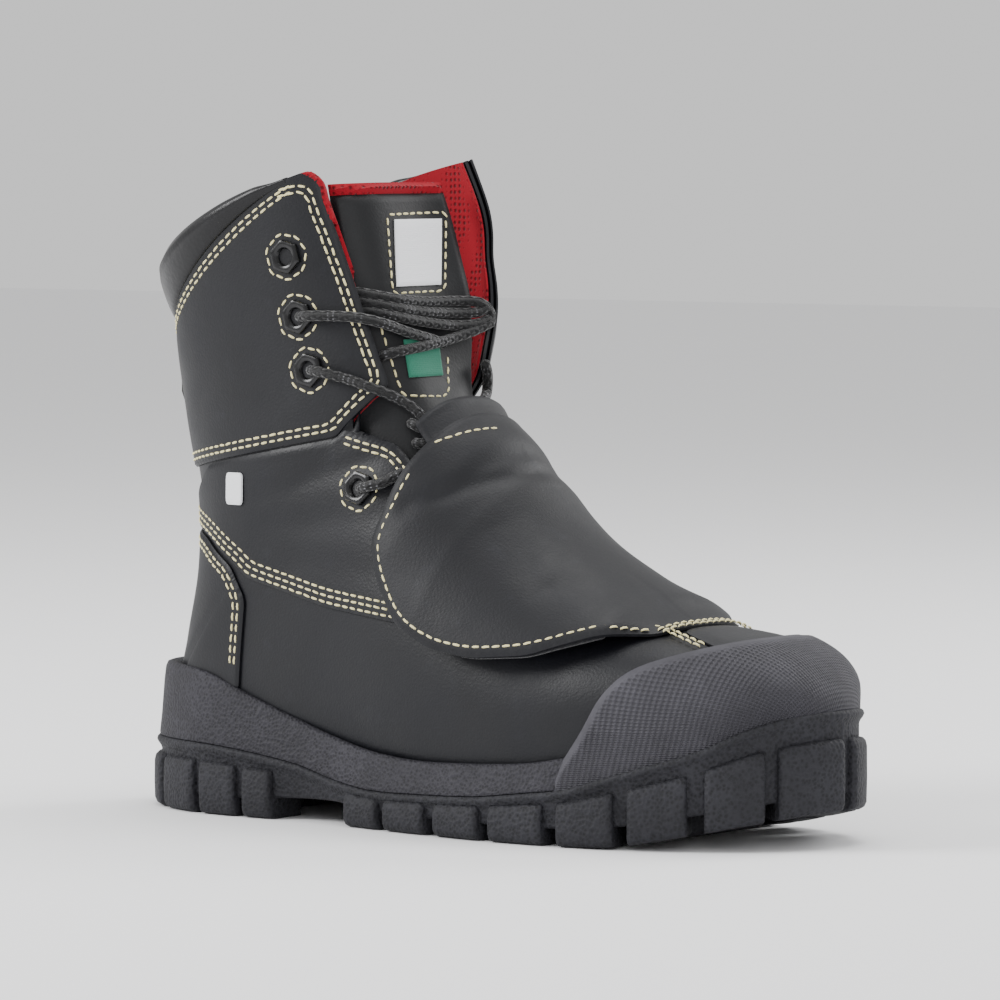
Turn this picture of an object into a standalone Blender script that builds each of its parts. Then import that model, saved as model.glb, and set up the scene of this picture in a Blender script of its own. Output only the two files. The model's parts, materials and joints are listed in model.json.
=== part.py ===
"""Metatarsal guard boot, right foot, at its real size in metres.

The boot stands on z = 0 and points along +X, with its outer side towards -Y. Every piece of leather is cut
from one function, the skin of the last, which is a fan of sections from the tip of the toe to the collar.
"""

import bmesh
import bpy
import numpy as np

# Driving sizes
LENGTH = 0.312  # outsole, heel to toe
BALL_WIDTH = 0.100  # upper at the ball of the foot
SOLE_OVERHANG = 0.009  # how far the sole stands out beyond the ball
BOOT_HEIGHT = 0.249  # floor to the front of the collar
HEEL_STACK = 0.0555  # floor to the top edge of the midsole at the heel
FEATHER_INSET = 0.012  # from the sole's outline to the foot of the upper
WALL = 0.0022  # leather of the upper
INNER_FACING = 0.36 * BALL_WIDTH  # from the boot's middle to the inner facing, which stands open
OVERLAY = 0.0013  # leather of each panel on the upper
GAP = 0.0003  # between neighbouring pieces
LUG_DEPTH = 0.018  # tread blocks, from the side of the sole inwards
LUG_BEVEL = 0.0025
LUG_TOP = 0.62  # share of the way from the foot of the tread to the bead
LUG_PROUD = 0.003  # tread blocks beyond the side of the sole
RIM_WALL = 0.0028  # rubber cup that holds the midsole
BEAD_INSET = 0.0014  # the bead at the top of the cup, inside the widest tread blocks
BEAD_HEIGHT = 0.0022
BEAD_ROUND = 0.0004
TREAD_ROUND = 0.001  # from the underside of the plate to the straight part of its side
BAR_SHORT = 0.0005  # middle bars of the tread, off the floor
BAR_ROOT = 0.0015  # and up into the plate
BUMPER_WALL = 0.0030  # scuff cap over the toe
INSOLE_THICK = 0.0035
INSOLE_MARGIN = 0.0025  # footbed, inside the foot of the upper
TONGUE_THICK = 0.0045
TONGUE_SINK = 0.0022  # tongue below the inside of the upper, where the lining runs
GUARD_CLEARANCE = 0.0082  # flap above the upper, halfway along
GUARD_THICK = 0.0037
NECK_HALF_WIDTH = 0.020
NECK_THICK = 0.0017
PAD_DROP_BACK = 0.018  # collar roll, below the collar at the back
PAD_DROP_FRONT = 0.008  # and beside the throat
PAD_PROUD = 0.0045
PAD_TOP_FRONT = 0.0036  # collar roll, above the collar beside the throat
PAD_TOP_BACK = 0.0080  # and at the back
LINING = 0.0010  # inner leg of the roll beside the throat
PAD_FRONT_SETBACK = 0.004  # from the throat's edge to the end of the roll
PAD_ROWS = 8  # rows of the skin that the roll's legs run down
STAY_HALF_WIDTH = 0.010
EYELET_RADIUS = 0.0066
EYELET_HOLE = 0.0026
EYELET_THICK = 0.0018
EYELET_SIDES = 6
PUNCH_REACH = 0.006  # holes behind the eyelets, to each side of the skin
PUNCH_SIDES = 8
LACE_DIAMETER = 0.0038
LACE_OVER_TONGUE = -0.0018  # middle of the lace off the skin, over the tongue
LACE_DIP = 0.0026  # how far it has come down just inside the facing
OUTER_FACING = 0.21 * BALL_WIDTH  # from the boot's middle to where the lace comes down off the outer facing
TAG_WIDTH = 0.009
TAG_HEIGHT = 0.012
TAG_PLACE = (0.197, 0.497)  # shares of LENGTH and BOOT_HEIGHT
PATCH_WIDTH = 0.026
PATCH_OUTER = 0.27  # share of the patch to the outer side of the boot's middle
PATCH_THICK = 0.001
PULL_TAB_WIDTH = 0.012
PULL_TAB_HEIGHT = 0.014
PULL_TAB_THICK = 0.0024
PULL_TAB_PLACE = 0.650  # share of BOOT_HEIGHT

SOLE_WIDTH = BALL_WIDTH + 2 * SOLE_OVERHANG
FOOT_LENGTH = LENGTH - 2 * FEATHER_INSET

# Plan of the sole: share of LENGTH from the heel, share of SOLE_WIDTH to the inner side
PLAN = np.array([
    (0.000, 0.000), (0.030, -0.205), (0.125, -0.352), (0.330, -0.385), (0.500, -0.462), (0.640, -0.500),
    (0.800, -0.455), (0.925, -0.285), (1.000, 0.030), (0.968, 0.262), (0.875, 0.428), (0.730, 0.500),
    (0.580, 0.455), (0.420, 0.372), (0.270, 0.360), (0.125, 0.352), (0.030, 0.205),
])

# Side of the sole: share of LENGTH, then heights as shares of HEEL_STACK
SOLE_COLUMNS = ("along", "ground", "base", "plate", "bead", "feather", "edge")
SOLE_SIDE = np.array([
    (0.00, 0.000, 0.130, 0.415, 0.486, 0.595, 1.000),
    (0.08, 0.000, 0.126, 0.415, 0.486, 0.595, 1.000),
    (0.15, 0.000, 0.126, 0.415, 0.482, 0.595, 0.960),
    (0.22, 0.000, 0.126, 0.380, 0.450, 0.577, 0.826),
    (0.30, 0.000, 0.153, 0.306, 0.387, 0.540, 0.676),
    (0.36, 0.000, 0.153, 0.243, 0.306, 0.495, 0.577),
    (0.42, 0.000, 0.117, 0.216, 0.261, 0.450, 0.514),
    (0.50, 0.000, 0.108, 0.207, 0.265, 0.396, 0.486),
    (0.60, 0.000, 0.108, 0.216, 0.288, 0.351, 0.504),
    (0.67, 0.000, 0.108, 0.234, 0.333, 0.342, 0.530),
    (0.73, 0.000, 0.117, 0.252, 0.378, 0.351, 0.586),
    (0.79, 0.010, 0.141, 0.293, 0.477, 0.373, 0.666),
    (0.83, 0.045, 0.171, 0.324, 0.550, 0.396, 0.739),
    (0.89, 0.110, 0.234, 0.369, 0.658, 0.450, 0.838),
    (0.95, 0.180, 0.300, 0.423, 0.829, 0.514, 0.991),
    (1.00, 0.235, 0.345, 0.450, 0.901, 0.559, 1.063),
])

# Sections of the last. foot: share of FOOT_LENGTH of the point at the sole or back line; rise: that point
# above the foot of the upper, share of BOOT_HEIGHT; crest_x and crest_z: the point on the ridge, shares of
# LENGTH and BOOT_HEIGHT; outer and inner: half widths, shares of BALL_WIDTH; belly: where the section is
# widest, share of the way to the ridge; square and inner_square: power of the curve above the belly on each
# side; splay: how far the inner facing leans forward, share of LENGTH
SECTION_COLUMNS = (
    "foot", "rise", "crest_x", "crest_z", "outer", "inner", "belly", "square", "inner_square", "splay",
)
SECTIONS = np.array([
    (1.0000, 0.000, 0.9615, 0.125, 0.000, 0.000, 0.42, 2.3, 2.3, 0.000),
    (0.9900, 0.000, 0.9680, 0.170, 0.120, 0.144, 0.42, 2.3, 2.3, 0.000),
    (0.9650, 0.000, 0.9630, 0.225, 0.210, 0.228, 0.42, 2.4, 2.4, 0.000),
    (0.9300, 0.000, 0.9420, 0.262, 0.305, 0.314, 0.42, 2.6, 2.6, 0.000),
    (0.8820, 0.000, 0.8970, 0.288, 0.390, 0.390, 0.42, 2.8, 2.8, 0.000),
    (0.8160, 0.000, 0.8330, 0.303, 0.452, 0.452, 0.40, 2.8, 2.8, 0.000),
    (0.7430, 0.000, 0.7560, 0.321, 0.492, 0.490, 0.38, 2.5, 2.5, 0.000),
    (0.6600, 0.000, 0.6830, 0.355, 0.500, 0.492, 0.36, 2.2, 2.2, 0.000),
    (0.5690, 0.000, 0.6090, 0.410, 0.487, 0.470, 0.34, 2.1, 2.1, 0.000),
    (0.4720, 0.000, 0.5420, 0.486, 0.462, 0.440, 0.33, 2.1, 2.1, 0.000),
    (0.3680, 0.000, 0.4950, 0.560, 0.435, 0.412, 0.34, 2.3, 2.3, 0.000),
    (0.2500, 0.000, 0.4650, 0.605, 0.405, 0.395, 0.36, 2.7, 2.7, 0.000),
    (0.1390, 0.000, 0.4490, 0.635, 0.385, 0.382, 0.39, 3.0, 3.1, 0.003),
    (0.0560, 0.000, 0.4370, 0.663, 0.370, 0.372, 0.43, 3.3, 3.7, 0.008),
    (0.0000, 0.000, 0.4280, 0.691, 0.362, 0.370, 0.46, 3.4, 4.4, 0.014),
    (0.0120, 0.085, 0.4190, 0.727, 0.360, 0.374, 0.48, 3.4, 5.0, 0.022),
    (0.0330, 0.205, 0.4100, 0.759, 0.360, 0.382, 0.49, 3.3, 5.6, 0.030),
    (0.0330, 0.325, 0.4010, 0.799, 0.360, 0.392, 0.50, 3.2, 6.2, 0.038),
    (0.0130, 0.450, 0.3880, 0.847, 0.365, 0.405, 0.50, 3.1, 6.6, 0.045),
    (0.0000, 0.565, 0.3720, 0.920, 0.375, 0.418, 0.50, 3.0, 6.8, 0.046),
    (0.0000, 0.665, 0.3560, 1.000, 0.385, 0.425, 0.50, 3.0, 6.8, 0.030),
])

# Outlines seen from the side, shares of LENGTH and BOOT_HEIGHT. They run past the leather where it ends by
# itself, so 1.2 is above the collar.
THROAT = ((0.321, 1.000), (0.314, 1.040), (0.320, 1.200), (0.700, 1.200), (0.700, 0.640), (0.492, 0.553),
          (0.452, 0.546), (0.426, 0.574), (0.359, 0.598), (0.407, 0.659))
THROAT_FOOT = ((0.426, 0.574), (0.359, 0.598), (0.407, 0.659), (0.425, 0.700), (0.700, 0.800), (0.700, 0.640),
               (0.492, 0.553), (0.452, 0.546))
INNER_THROAT = ((0.345, 0.620), (0.330, 0.640), (0.330, 1.200), (0.700, 1.200), (0.700, 0.640), (0.500, 0.600),
                (0.400, 0.600))
SHAFT_PANEL = ((-0.100, 0.514), (0.080, 0.522), (0.200, 0.548), (0.350, 0.582), (0.358, 0.596), (0.408, 0.659),
               (0.321, 1.000), (0.310, 1.200), (-0.100, 1.200))
INNER_SHAFT_PANEL = SHAFT_PANEL[:6] + ((0.450, 0.700), (0.450, 1.200), (-0.100, 1.200))
QUARTER = ((0.075, 0.519), (0.200, 0.545), (0.350, 0.579), (0.359, 0.592), (0.426, 0.572), (0.452, 0.543),
           (0.490, 0.480), (0.507, 0.305), (0.350, 0.326), (0.219, 0.361), (0.204, 0.372), (0.192, 0.384),
           (0.130, 0.424), (0.060, 0.440))
INNER_PAD_FRONT = 0.345  # share of LENGTH where the inner end of the collar roll starts
HEEL_COUNTER = ((-0.100, 0.436), (0.060, 0.434), (0.127, 0.418), (0.186, 0.378), (0.211, 0.330), (0.202, 0.215),
                (0.200, 0.190), (-0.100, 0.190))
TOE_CAP = ((0.905, 0.200), (0.889, 0.281), (0.806, 0.306), (0.796, 0.320), (0.790, 0.420), (1.100, 0.420),
           (1.100, 0.200))
BUMPER_EDGE = ((0.724, 0.133), (0.745, 0.170), (0.769, 0.225), (0.801, 0.257), (0.862, 0.279),
               (0.905, 0.293), (1.100, 0.300))
GUARD = ((0.436, 0.420), (0.455, 0.365), (0.490, 0.305), (0.541, 0.272), (0.599, 0.258), (0.670, 0.260),
         (0.735, 0.281), (0.775, 0.300), (0.806, 0.304), (0.835, 0.290), (0.835, 0.420), (0.520, 0.760),
         (0.478, 0.625), (0.450, 0.520))
# Flap off the skin: crest_x of a section, then shares of GUARD_CLEARANCE at the ridge and at the sole
GUARD_LIFTS = np.array([
    (0.430, 0.52, 0.90), (0.460, 0.62, 0.95), (0.500, 0.95, 1.05), (0.545, 1.10, 1.10), (0.610, 0.95, 1.05),
    (0.685, 0.75, 0.95), (0.755, 0.52, 0.85), (0.800, 0.30, 0.55), (0.835, 0.24, 0.30), (0.900, 0.24, 0.24),
])
TONGUE = ((0.300, 0.560), (0.420, 0.560), (0.500, 0.520), (0.560, 0.600), (0.480, 0.985), (0.270, 0.952))
PATCH = ((0.300, 0.806), (0.460, 0.822), (0.420, 0.928), (0.280, 0.912))
GUARD_NECK = ((0.432, 0.665), (0.470, 0.760), (0.600, 0.700), (0.560, 0.440), (0.500, 0.500))

# Eyelets from the top: shares of LENGTH on the outer and the inner side, then share of BOOT_HEIGHT
EYELETS = ((0.278, 0.318, 0.850), (0.294, 0.330, 0.760), (0.311, 0.340, 0.680), (0.390, 0.390, 0.505))

# Midsole above the bead: inset as a share of LUG_PROUD, then share of the way from the bead to the edge
MIDSOLE_SIDE = ((1.0, 0.0), (0.9, 0.3), (1.1, 0.8), (1.5, 1.0))

# Section of the collar roll, from the foot of its outer leg over the top, down the inner leg and back beside
# the leather: leg (1 outer, 0 edge, -1 inner), then shares of the leg's length, its thickness and its rise
COLLAR_SECTION = (
    (1, 1.00, 0.0, 0.0), (1, 1.00, 0.5, 0.0), (1, 0.65, 1.0, 0.0), (1, 0.25, 1.0, 0.0), (1, 0.00, 0.6, 0.6),
    (0, 0.00, 0.0, 1.0), (-1, 0.00, 0.8, 0.6), (-1, 0.35, 1.0, 0.0), (-1, 0.80, 0.9, 0.0), (-1, 0.90, 0.0, 0.0),
    (-1, 0.45, 0.0, 0.0), (-1, 0.00, 0.0, 0.0), (1, 0.00, 0.0, 0.0), (1, 0.35, 0.0, 0.0), (1, 0.70, 0.0, 0.0),
)

# Middle of the lace on each side, from the outer facing to the inner facing, as shares of the two facings
LACE_STEPS = (-1.0, -0.7, -0.4, 0.66, 0.83, 0.92)

# Tread blocks of each side, from the heel: first and last share of LENGTH
HEEL_LUGS = ((0.0004, 0.060), (0.068, 0.135), (0.147, 0.206), (0.218, 0.262))
FORE_LUGS = ((0.383, 0.440), (0.452, 0.520), (0.537, 0.608), (0.625, 0.702), (0.722, 0.795), (0.812, 0.878),
             (0.896, 0.950), (0.960, 0.9996))
# Middle bars of the tread: share of LENGTH, half length, half width as shares of SOLE_WIDTH
MIDDLE_BARS = ((0.100, 0.060, 0.130), (0.185, 0.060, 0.150), (0.450, 0.070, 0.210), (0.540, 0.080, 0.260),
               (0.635, 0.080, 0.290), (0.730, 0.080, 0.280), (0.820, 0.075, 0.220))

RINGS = 27  # sections drawn between the toe and the collar
LOW_STEPS = 3  # steps from the foot of a section to its belly
HIGH_STEPS = 6  # steps from the belly to the ridge
OUTLINE_STEPS = 50
INSOLE_STEPS = 40
LUG_STEPS = 3
BAR_STEPS = 13
BUMPER_STEPS = 9
RIDGE_STEP = LOW_STEPS + HIGH_STEPS
STRIP_ROW = 12  # first row of what lies in the throat
STRIP_COLUMNS = (RIDGE_STEP - 4, RIDGE_STEP + 2)
TOE_ROWS = 4  # rows left out where a place on the skin is looked up


def smooth_rows(rows, at):
    """Rows of a table at fractional row numbers, on a curve through them all (Catmull-Rom)."""
    rows = np.asarray(rows, float)
    low = np.clip(np.floor(at).astype(int), 0, len(rows) - 2)
    t = (at - low)[:, None]
    before, after = np.maximum(low - 1, 0), np.minimum(low + 2, len(rows) - 1)
    p0, p1, p2, p3 = rows[before], rows[low], rows[low + 1], rows[after]
    first, last = (p2 - p0) / 2, (p3 - p1) / 2
    return (
        (2 * t**3 - 3 * t**2 + 1) * p1 + (t**3 - 2 * t**2 + t) * first
        + (3 * t**2 - 2 * t**3) * p2 + (t**3 - t**2) * last
    )


def plan_curve(steps):
    """Closed curve through PLAN, with each span's speed set by the root of its length, at the sole's size."""
    points = PLAN * [LENGTH, SOLE_WIDTH]
    span = np.linalg.norm(np.roll(points, -1, 0) - points, axis=1)[:, None] ** 0.5
    back, ahead = np.roll(span, 1, 0), span
    tangent = (points - np.roll(points, 1, 0)) / back - (np.roll(points, -1, 0) - np.roll(points, 1, 0)) / (
        back + ahead
    ) + (np.roll(points, -1, 0) - points) / ahead
    nearer, next_points, next_tangent = points, np.roll(points, -1, 0), np.roll(tangent, -1, 0)
    t = np.linspace(0, 1, steps, endpoint=False)[None, :, None]
    curve = (
        (2 * t**3 - 3 * t**2 + 1) * nearer[:, None] + (t**3 - 2 * t**2 + t) * (tangent * span)[:, None]
        + (3 * t**2 - 2 * t**3) * next_points[:, None] + (t**3 - t**2) * (next_tangent * span)[:, None]
    ).reshape(-1, 2)
    low, high = curve.min(0), curve.max(0)
    return (curve - low) / (high - low) * [LENGTH, SOLE_WIDTH] - [LENGTH / 2, SOLE_WIDTH / 2]


FINE_PLAN = plan_curve(60)


def plan_normals(points):
    """Unit normals of a closed plan curve, pointing inwards."""
    along = np.roll(points, -1, 0) - np.roll(points, 1, 0)
    normal = np.stack([-along[:, 1], along[:, 0]], 1)
    return normal / np.linalg.norm(normal, axis=1)[:, None]


FINE_INWARD = plan_normals(FINE_PLAN)


def outline(inset, steps=OUTLINE_STEPS):
    """The sole's outline moved inwards, as evenly spaced points."""
    curve = FINE_PLAN
    length = np.r_[0, np.cumsum(np.linalg.norm(np.diff(np.vstack([curve, curve[:1]]), axis=0), axis=1))]
    at = np.linspace(0, length[-1], steps, endpoint=False)
    moved = np.vstack([curve + FINE_INWARD * inset, (curve + FINE_INWARD * inset)[:1]])
    return np.stack([np.interp(at, length, moved[:, i]) for i in (0, 1)], 1)


def side_edges(inset):
    """The outer and the inner half of the inset outline, each from heel to toe, with x, y and the inward x, y."""
    curve = np.hstack([FINE_PLAN + FINE_INWARD * inset, FINE_INWARD])
    heel, toe = curve[:, 0].argmin(), curve[:, 0].argmax()
    outer = np.take(curve, np.arange(heel, heel + (toe - heel) % len(curve) + 1), 0, mode="wrap")
    inner = np.take(curve, np.arange(toe, toe + (heel - toe) % len(curve) + 1), 0, mode="wrap")[::-1]
    return outer, inner


def sole_height(column, x):
    """Height of one line of the sole's side at world x."""
    rows = SOLE_SIDE[:, SOLE_COLUMNS.index(column)]
    at = np.clip((np.asarray(x) / LENGTH + 0.5), 0, 1)
    row_number = np.interp(at, SOLE_SIDE[:, 0], np.arange(len(SOLE_SIDE)))
    height = smooth_rows(rows[:, None], np.atleast_1d(row_number))[:, 0].reshape(np.shape(x))
    return np.maximum(height, 0) * HEEL_STACK


def world_x(share):
    return np.asarray(share) * LENGTH - LENGTH / 2


def skin_grid():
    """Points of the skin, one row for each section and one column for each step from the outer foot over the
    ridge to the inner foot, and how many rows stand on the sole.

    Below the belly a half section is a quarter ellipse from the foot's width to the full width, and above it
    the curve (y / width) ** square + (height) ** square = 1. The inner half leans forward between the belly
    and the ridge by the sine of twice its angle.
    """
    corner = int(np.flatnonzero(SECTIONS[:, 1] == 0).max())
    on_sole = round(RINGS * corner / (len(SECTIONS) - 1))
    sole_at = np.linspace(0, 1, on_sole + 1)
    sole_at = corner * (sole_at + np.sin(sole_at * np.pi / 2)) / 2
    at = np.r_[sole_at, np.linspace(corner, len(SECTIONS) - 1, RINGS - on_sole + 1)[1:]]
    rows = dict(zip(SECTION_COLUMNS, smooth_rows(SECTIONS, at).T))
    outer_edge, inner_edge = side_edges(FEATHER_INSET)
    foot_x = np.clip(rows["foot"], 0, 1) * FOOT_LENGTH + FEATHER_INSET - LENGTH / 2
    standing = np.arange(len(at)) <= on_sole
    back_z = sole_height("feather", foot_x) + np.where(standing, 0, rows["rise"]) * BOOT_HEIGHT
    crest_x, crest_z = world_x(rows["crest_x"]), rows["crest_z"] * BOOT_HEIGHT

    def middle(x):
        return (np.interp(x, *outer_edge.T[:2]) + np.interp(x, *inner_edge.T[:2])) / 2

    columns = []
    low = np.linspace(0, np.pi / 2, LOW_STEPS + 1)
    high = np.linspace(0, np.pi / 2, HIGH_STEPS + 1)[1:]
    for side, edge, width, square, splay in (
        (-1, outer_edge, rows["outer"], rows["square"], rows["splay"] * 0),
        (1, inner_edge, rows["inner"], rows["inner_square"], rows["splay"]),
    ):
        foot_width = np.where(standing, abs(np.interp(foot_x, *edge.T[:2]) - middle(foot_x)), 0)[:, None]
        full = np.maximum(width[:, None] * BALL_WIDTH, foot_width + WALL)
        full[0] = 0
        foot_width[0] = 0
        belly, square = rows["belly"][:, None], square[:, None]
        share = np.hstack([belly * (1 - np.cos(low)), belly + (1 - belly) * np.sin(high) ** (2 / square)])
        across = np.hstack([foot_width + (full - foot_width) * np.sin(low), full * np.cos(high) ** (2 / square)])
        across[:, -1] = 0
        lean = np.hstack([0 * low, np.maximum(np.sin(2 * high), 0)])
        x = foot_x[:, None] + share * (crest_x - foot_x)[:, None] + splay[:, None] * LENGTH * lean
        z = back_z[:, None] + share * (crest_z - back_z)[:, None]
        ridge = (middle(foot_x)[:, None] * (1 - share) + middle(crest_x)[:, None] * share)
        columns.append(np.stack([x, ridge + side * across, z], 2))
    grid = np.concatenate([columns[0], columns[1][:, -2::-1]], 1)
    grid[0] = grid[0, 0]
    return grid, on_sole


def grid_faces(rows, columns, close=False):
    """Quads between neighbouring points of a grid, joined round the columns where close is set."""
    i, j = np.meshgrid(np.arange(rows - 1), np.arange(columns if close else columns - 1), indexing="ij")
    right = (j + 1) % columns
    faces = np.stack([i * columns + j, i * columns + right, (i + 1) * columns + right, (i + 1) * columns + j], -1)
    return faces.reshape(-1, 4)


def triangles(quads):
    """Each quad cut along the same diagonal, so that neighbouring lifts of the skin run parallel."""
    return np.concatenate([quads[:, :3], quads[:, (0, 2, 3)]])


def vertex_normals(grid, faces):
    """Unit normals of a grid's points. Points in one place, as at the toe and up the back, share one."""
    points = grid.reshape(-1, 3)
    _, index = np.unique(np.round(points / 1e-6).astype(np.int64), axis=0, return_inverse=True)
    index = index.reshape(-1)
    quad = points[faces]
    area = np.cross(quad[:, 2] - quad[:, 0], quad[:, 3] - quad[:, 1])
    total = np.zeros((index.max() + 1, 3))
    for corner in range(4):
        np.add.at(total, index[faces[:, corner]], area)
    normal = total[index]
    return (normal / np.linalg.norm(normal, axis=1)[:, None]).reshape(grid.shape)


SKIN, ON_SOLE = skin_grid()
SKIN_FACES = grid_faces(*SKIN.shape[:2])
OUTWARD = vertex_normals(SKIN, SKIN_FACES)


def material(name, colour, roughness, metallic=0.0):
    made = bpy.data.materials.new(name)
    made.use_nodes = True
    shader = made.node_tree.nodes["Principled BSDF"]
    shader.inputs["Base Color"].default_value = (*colour, 1)
    shader.inputs["Roughness"].default_value = roughness
    shader.inputs["Metallic"].default_value = metallic
    made.diffuse_color = (*colour, 1)
    return made


def add_object(name, points, faces, finish=None):
    """Object from points and faces, with points in one place joined and faces turned outwards."""
    mesh = bpy.data.meshes.new(name)
    mesh.from_pydata(np.asarray(points).reshape(-1, 3).tolist(), [], [list(map(int, face)) for face in faces])
    shape = bmesh.new()
    shape.from_mesh(mesh)
    bmesh.ops.remove_doubles(shape, verts=shape.verts, dist=1e-6)
    bmesh.ops.dissolve_degenerate(shape, dist=1e-7, edges=shape.edges)
    bmesh.ops.recalc_face_normals(shape, faces=shape.faces)
    shape.to_mesh(mesh)
    shape.free()
    mesh.shade_smooth()
    mesh.set_sharp_from_angle(angle=np.radians(40))
    made = bpy.data.objects.new(name, mesh)
    bpy.context.scene.collection.objects.link(made)
    if finish:
        mesh.materials.append(finish)
    return made


def hide(helper):
    helper.hide_render = True
    helper.display_type = "WIRE"
    return helper


def boolean(target, operation, other, crossing=False):
    """Applies an exact Boolean with a hidden helper, which is then removed. crossing: the helper holds solids
    that run into each other."""
    modifier = target.modifiers.new(operation.lower(), "BOOLEAN")
    modifier.operation = operation
    modifier.solver = "EXACT"
    modifier.use_self = crossing
    modifier.object = hide(other)
    bpy.context.view_layer.update()
    result = bpy.data.meshes.new_from_object(target.evaluated_get(bpy.context.evaluated_depsgraph_get()))
    target.modifiers.clear()
    target.data = result
    result.name = target.name
    bpy.data.objects.remove(other)
    return target


def loft_faces(count, steps, across=False):
    """Faces of a stack of closed loops. Each end is one face or, with across set, strips from side to side."""
    faces = triangles(grid_faces(count, steps, close=True)).tolist()
    ends = [list(range(steps))]
    if across:
        ends = [[i, i + 1, steps - i - 1] for i in range(steps // 2 - 1)]
        ends += [[i, steps - i - 1, steps - i] for i in range(1, steps // 2)]
    top = (count - 1) * steps
    return faces + [end[::-1] for end in ends] + [[top + i for i in end] for end in ends]


def loft(name, loops, finish=None, across=False):
    """Closed solid through a stack of closed loops of equal length."""
    loops = np.asarray(loops)
    return add_object(name, loops, loft_faces(*loops.shape[:2], across), finish)


def strip(name, low, high, finish):
    """Closed sheet between two lifts off the skin over the front of the ankle, for what lies in the throat."""
    window = (slice(STRIP_ROW, None), slice(*STRIP_COLUMNS))
    skin, normals = SKIN[window], OUTWARD[window]
    loops = [np.vstack([row + normal * high, (row + normal * low)[::-1]]) for row, normal in zip(skin, normals)]
    return loft(name, loops, finish, across=True)


def shell(name, low, high, finish=None):
    """Closed sheet between two lifts off the skin, open at the collar and underneath. A lift is one number, or
    one for each point of the skin."""
    rows, columns = SKIN.shape[:2]
    skin_faces = triangles(SKIN_FACES)
    low, high = np.asarray(low)[..., None], np.asarray(high)[..., None]
    points = np.concatenate([SKIN + OUTWARD * high, SKIN + OUTWARD * low]).reshape(-1, 3)
    count = rows * columns
    faces = skin_faces.tolist() + (skin_faces[:, ::-1] + count).tolist()
    top = (rows - 1) * columns
    faces += [[top + j, top + j + 1, count + top + j + 1, count + top + j] for j in range(columns - 1)]
    for j in (0, columns - 1):
        for i in range(ON_SOLE):
            a, b = i * columns + j, (i + 1) * columns + j
            faces.append([a, b, count + b, count + a])
    return add_object(name, points, faces, finish)


def last_volume(name, lift, drop):
    """Closed solid of the last, grown by lift at its sides and by drop underneath."""
    body = SKIN + OUTWARD * lift
    body[: ON_SOLE + 1, (0, -1), 2] -= drop
    return loft(name, body)


def prism(name, shape, low_y, high_y, shift=0.0):
    """An outline seen from the side, run from low_y to high_y and moved along X by shift."""
    points = np.asarray(shape) * [LENGTH, BOOT_HEIGHT] - [LENGTH / 2 - shift, 0]
    return loft(name, [np.insert(points, 1, y, axis=1) for y in (low_y, high_y)])


def skin_place(x, z, side):
    """Row and column, with fractions, of the skin where it is seen at x and z from a side, -1 the outer side
    and 1 the inner side."""
    steps = 8
    half = (0, RIDGE_STEP) if side < 0 else (RIDGE_STEP, SKIN.shape[1] - 1)
    rows = np.arange(TOE_ROWS * steps, (len(SKIN) - 1) * steps) / steps
    columns = np.arange(half[0] * steps, half[1] * steps) / steps
    u, v = np.meshgrid(rows, columns, indexing="ij")
    points = on_grid(SKIN, u, v)
    nearest = np.hypot(points[..., 0] - x, points[..., 2] - z).argmin()
    return u.flat[nearest], v.flat[nearest]


def on_grid(grid, row, column):
    """Values of a grid at fractional rows and columns."""
    row, column = np.asarray(row, float), np.asarray(column, float)
    i, j = np.minimum(row.astype(int), len(grid) - 2), np.minimum(column.astype(int), grid.shape[1] - 2)
    u, v = (row - i)[..., None], (column - j)[..., None]
    low = grid[i, j] * (1 - v) + grid[i, j + 1] * v
    return low * (1 - u) + (grid[i + 1, j] * (1 - v) + grid[i + 1, j + 1] * v) * u


def skin_frame(x, z, side):
    """Point, outward normal, and forward and upward tangents of the skin where it is seen at x and z."""
    place = skin_place(x, z, side)
    point, normal = on_grid(SKIN, *place), on_grid(OUTWARD, *place)
    normal /= np.linalg.norm(normal)
    forward = np.array([1.0, 0, 0]) - normal * normal[0]
    forward /= np.linalg.norm(forward)
    upward = np.cross(forward, normal)
    return point, normal, forward, upward * np.sign(upward[2])


def placed(points, frame, lift=0.0):
    """Points given as forward, upward and outward distances, put on a skin frame."""
    origin, normal, forward, upward = frame
    points = np.asarray(points, float)
    return origin + points[..., :1] * forward + points[..., 1:2] * upward + (points[..., 2:] + lift) * normal


def ring_points(radius, count, turn=0.0):
    angle = np.arange(count) / count * 2 * np.pi + turn
    return np.stack([radius * np.cos(angle), radius * np.sin(angle)], 1)


def tube(name, path, radius, sides=6, finish=None):
    """Round bar along a path of points, with flat ends."""
    path = np.asarray(path, float)
    along = np.gradient(path, axis=0)
    along /= np.linalg.norm(along, axis=1)[:, None]
    across = np.cross(along, [0, 0, 1.0])
    across /= np.linalg.norm(across, axis=1)[:, None]
    third = np.cross(across, along)
    circle = ring_points(radius, sides, np.pi / sides)
    loops = path[:, None] + circle[None, :, :1] * across[:, None] + circle[None, :, 1:] * third[:, None]
    return loft(name, loops, finish)


# Finishes
LEATHER = (0.012, 0.012, 0.013)


def make_upper():
    upper = shell("upper", -WALL, 0.0, material("oiled leather", LEATHER, 0.5))
    boolean(upper, "DIFFERENCE", prism("throat", THROAT, -SOLE_WIDTH, 0.0))
    boolean(upper, "DIFFERENCE", prism("throat foot", THROAT_FOOT, 0.0, SOLE_WIDTH))
    boolean(upper, "DIFFERENCE", prism("inner throat", INNER_THROAT, -GAP, INNER_FACING))


def make_panel(name, shape, low_y, high_y):
    panel = shell(name, GAP, OVERLAY + GAP, material(f"{name} leather", LEATHER, 0.5))
    boolean(panel, "INTERSECT", prism("pattern", shape, low_y, high_y))
    return panel


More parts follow.
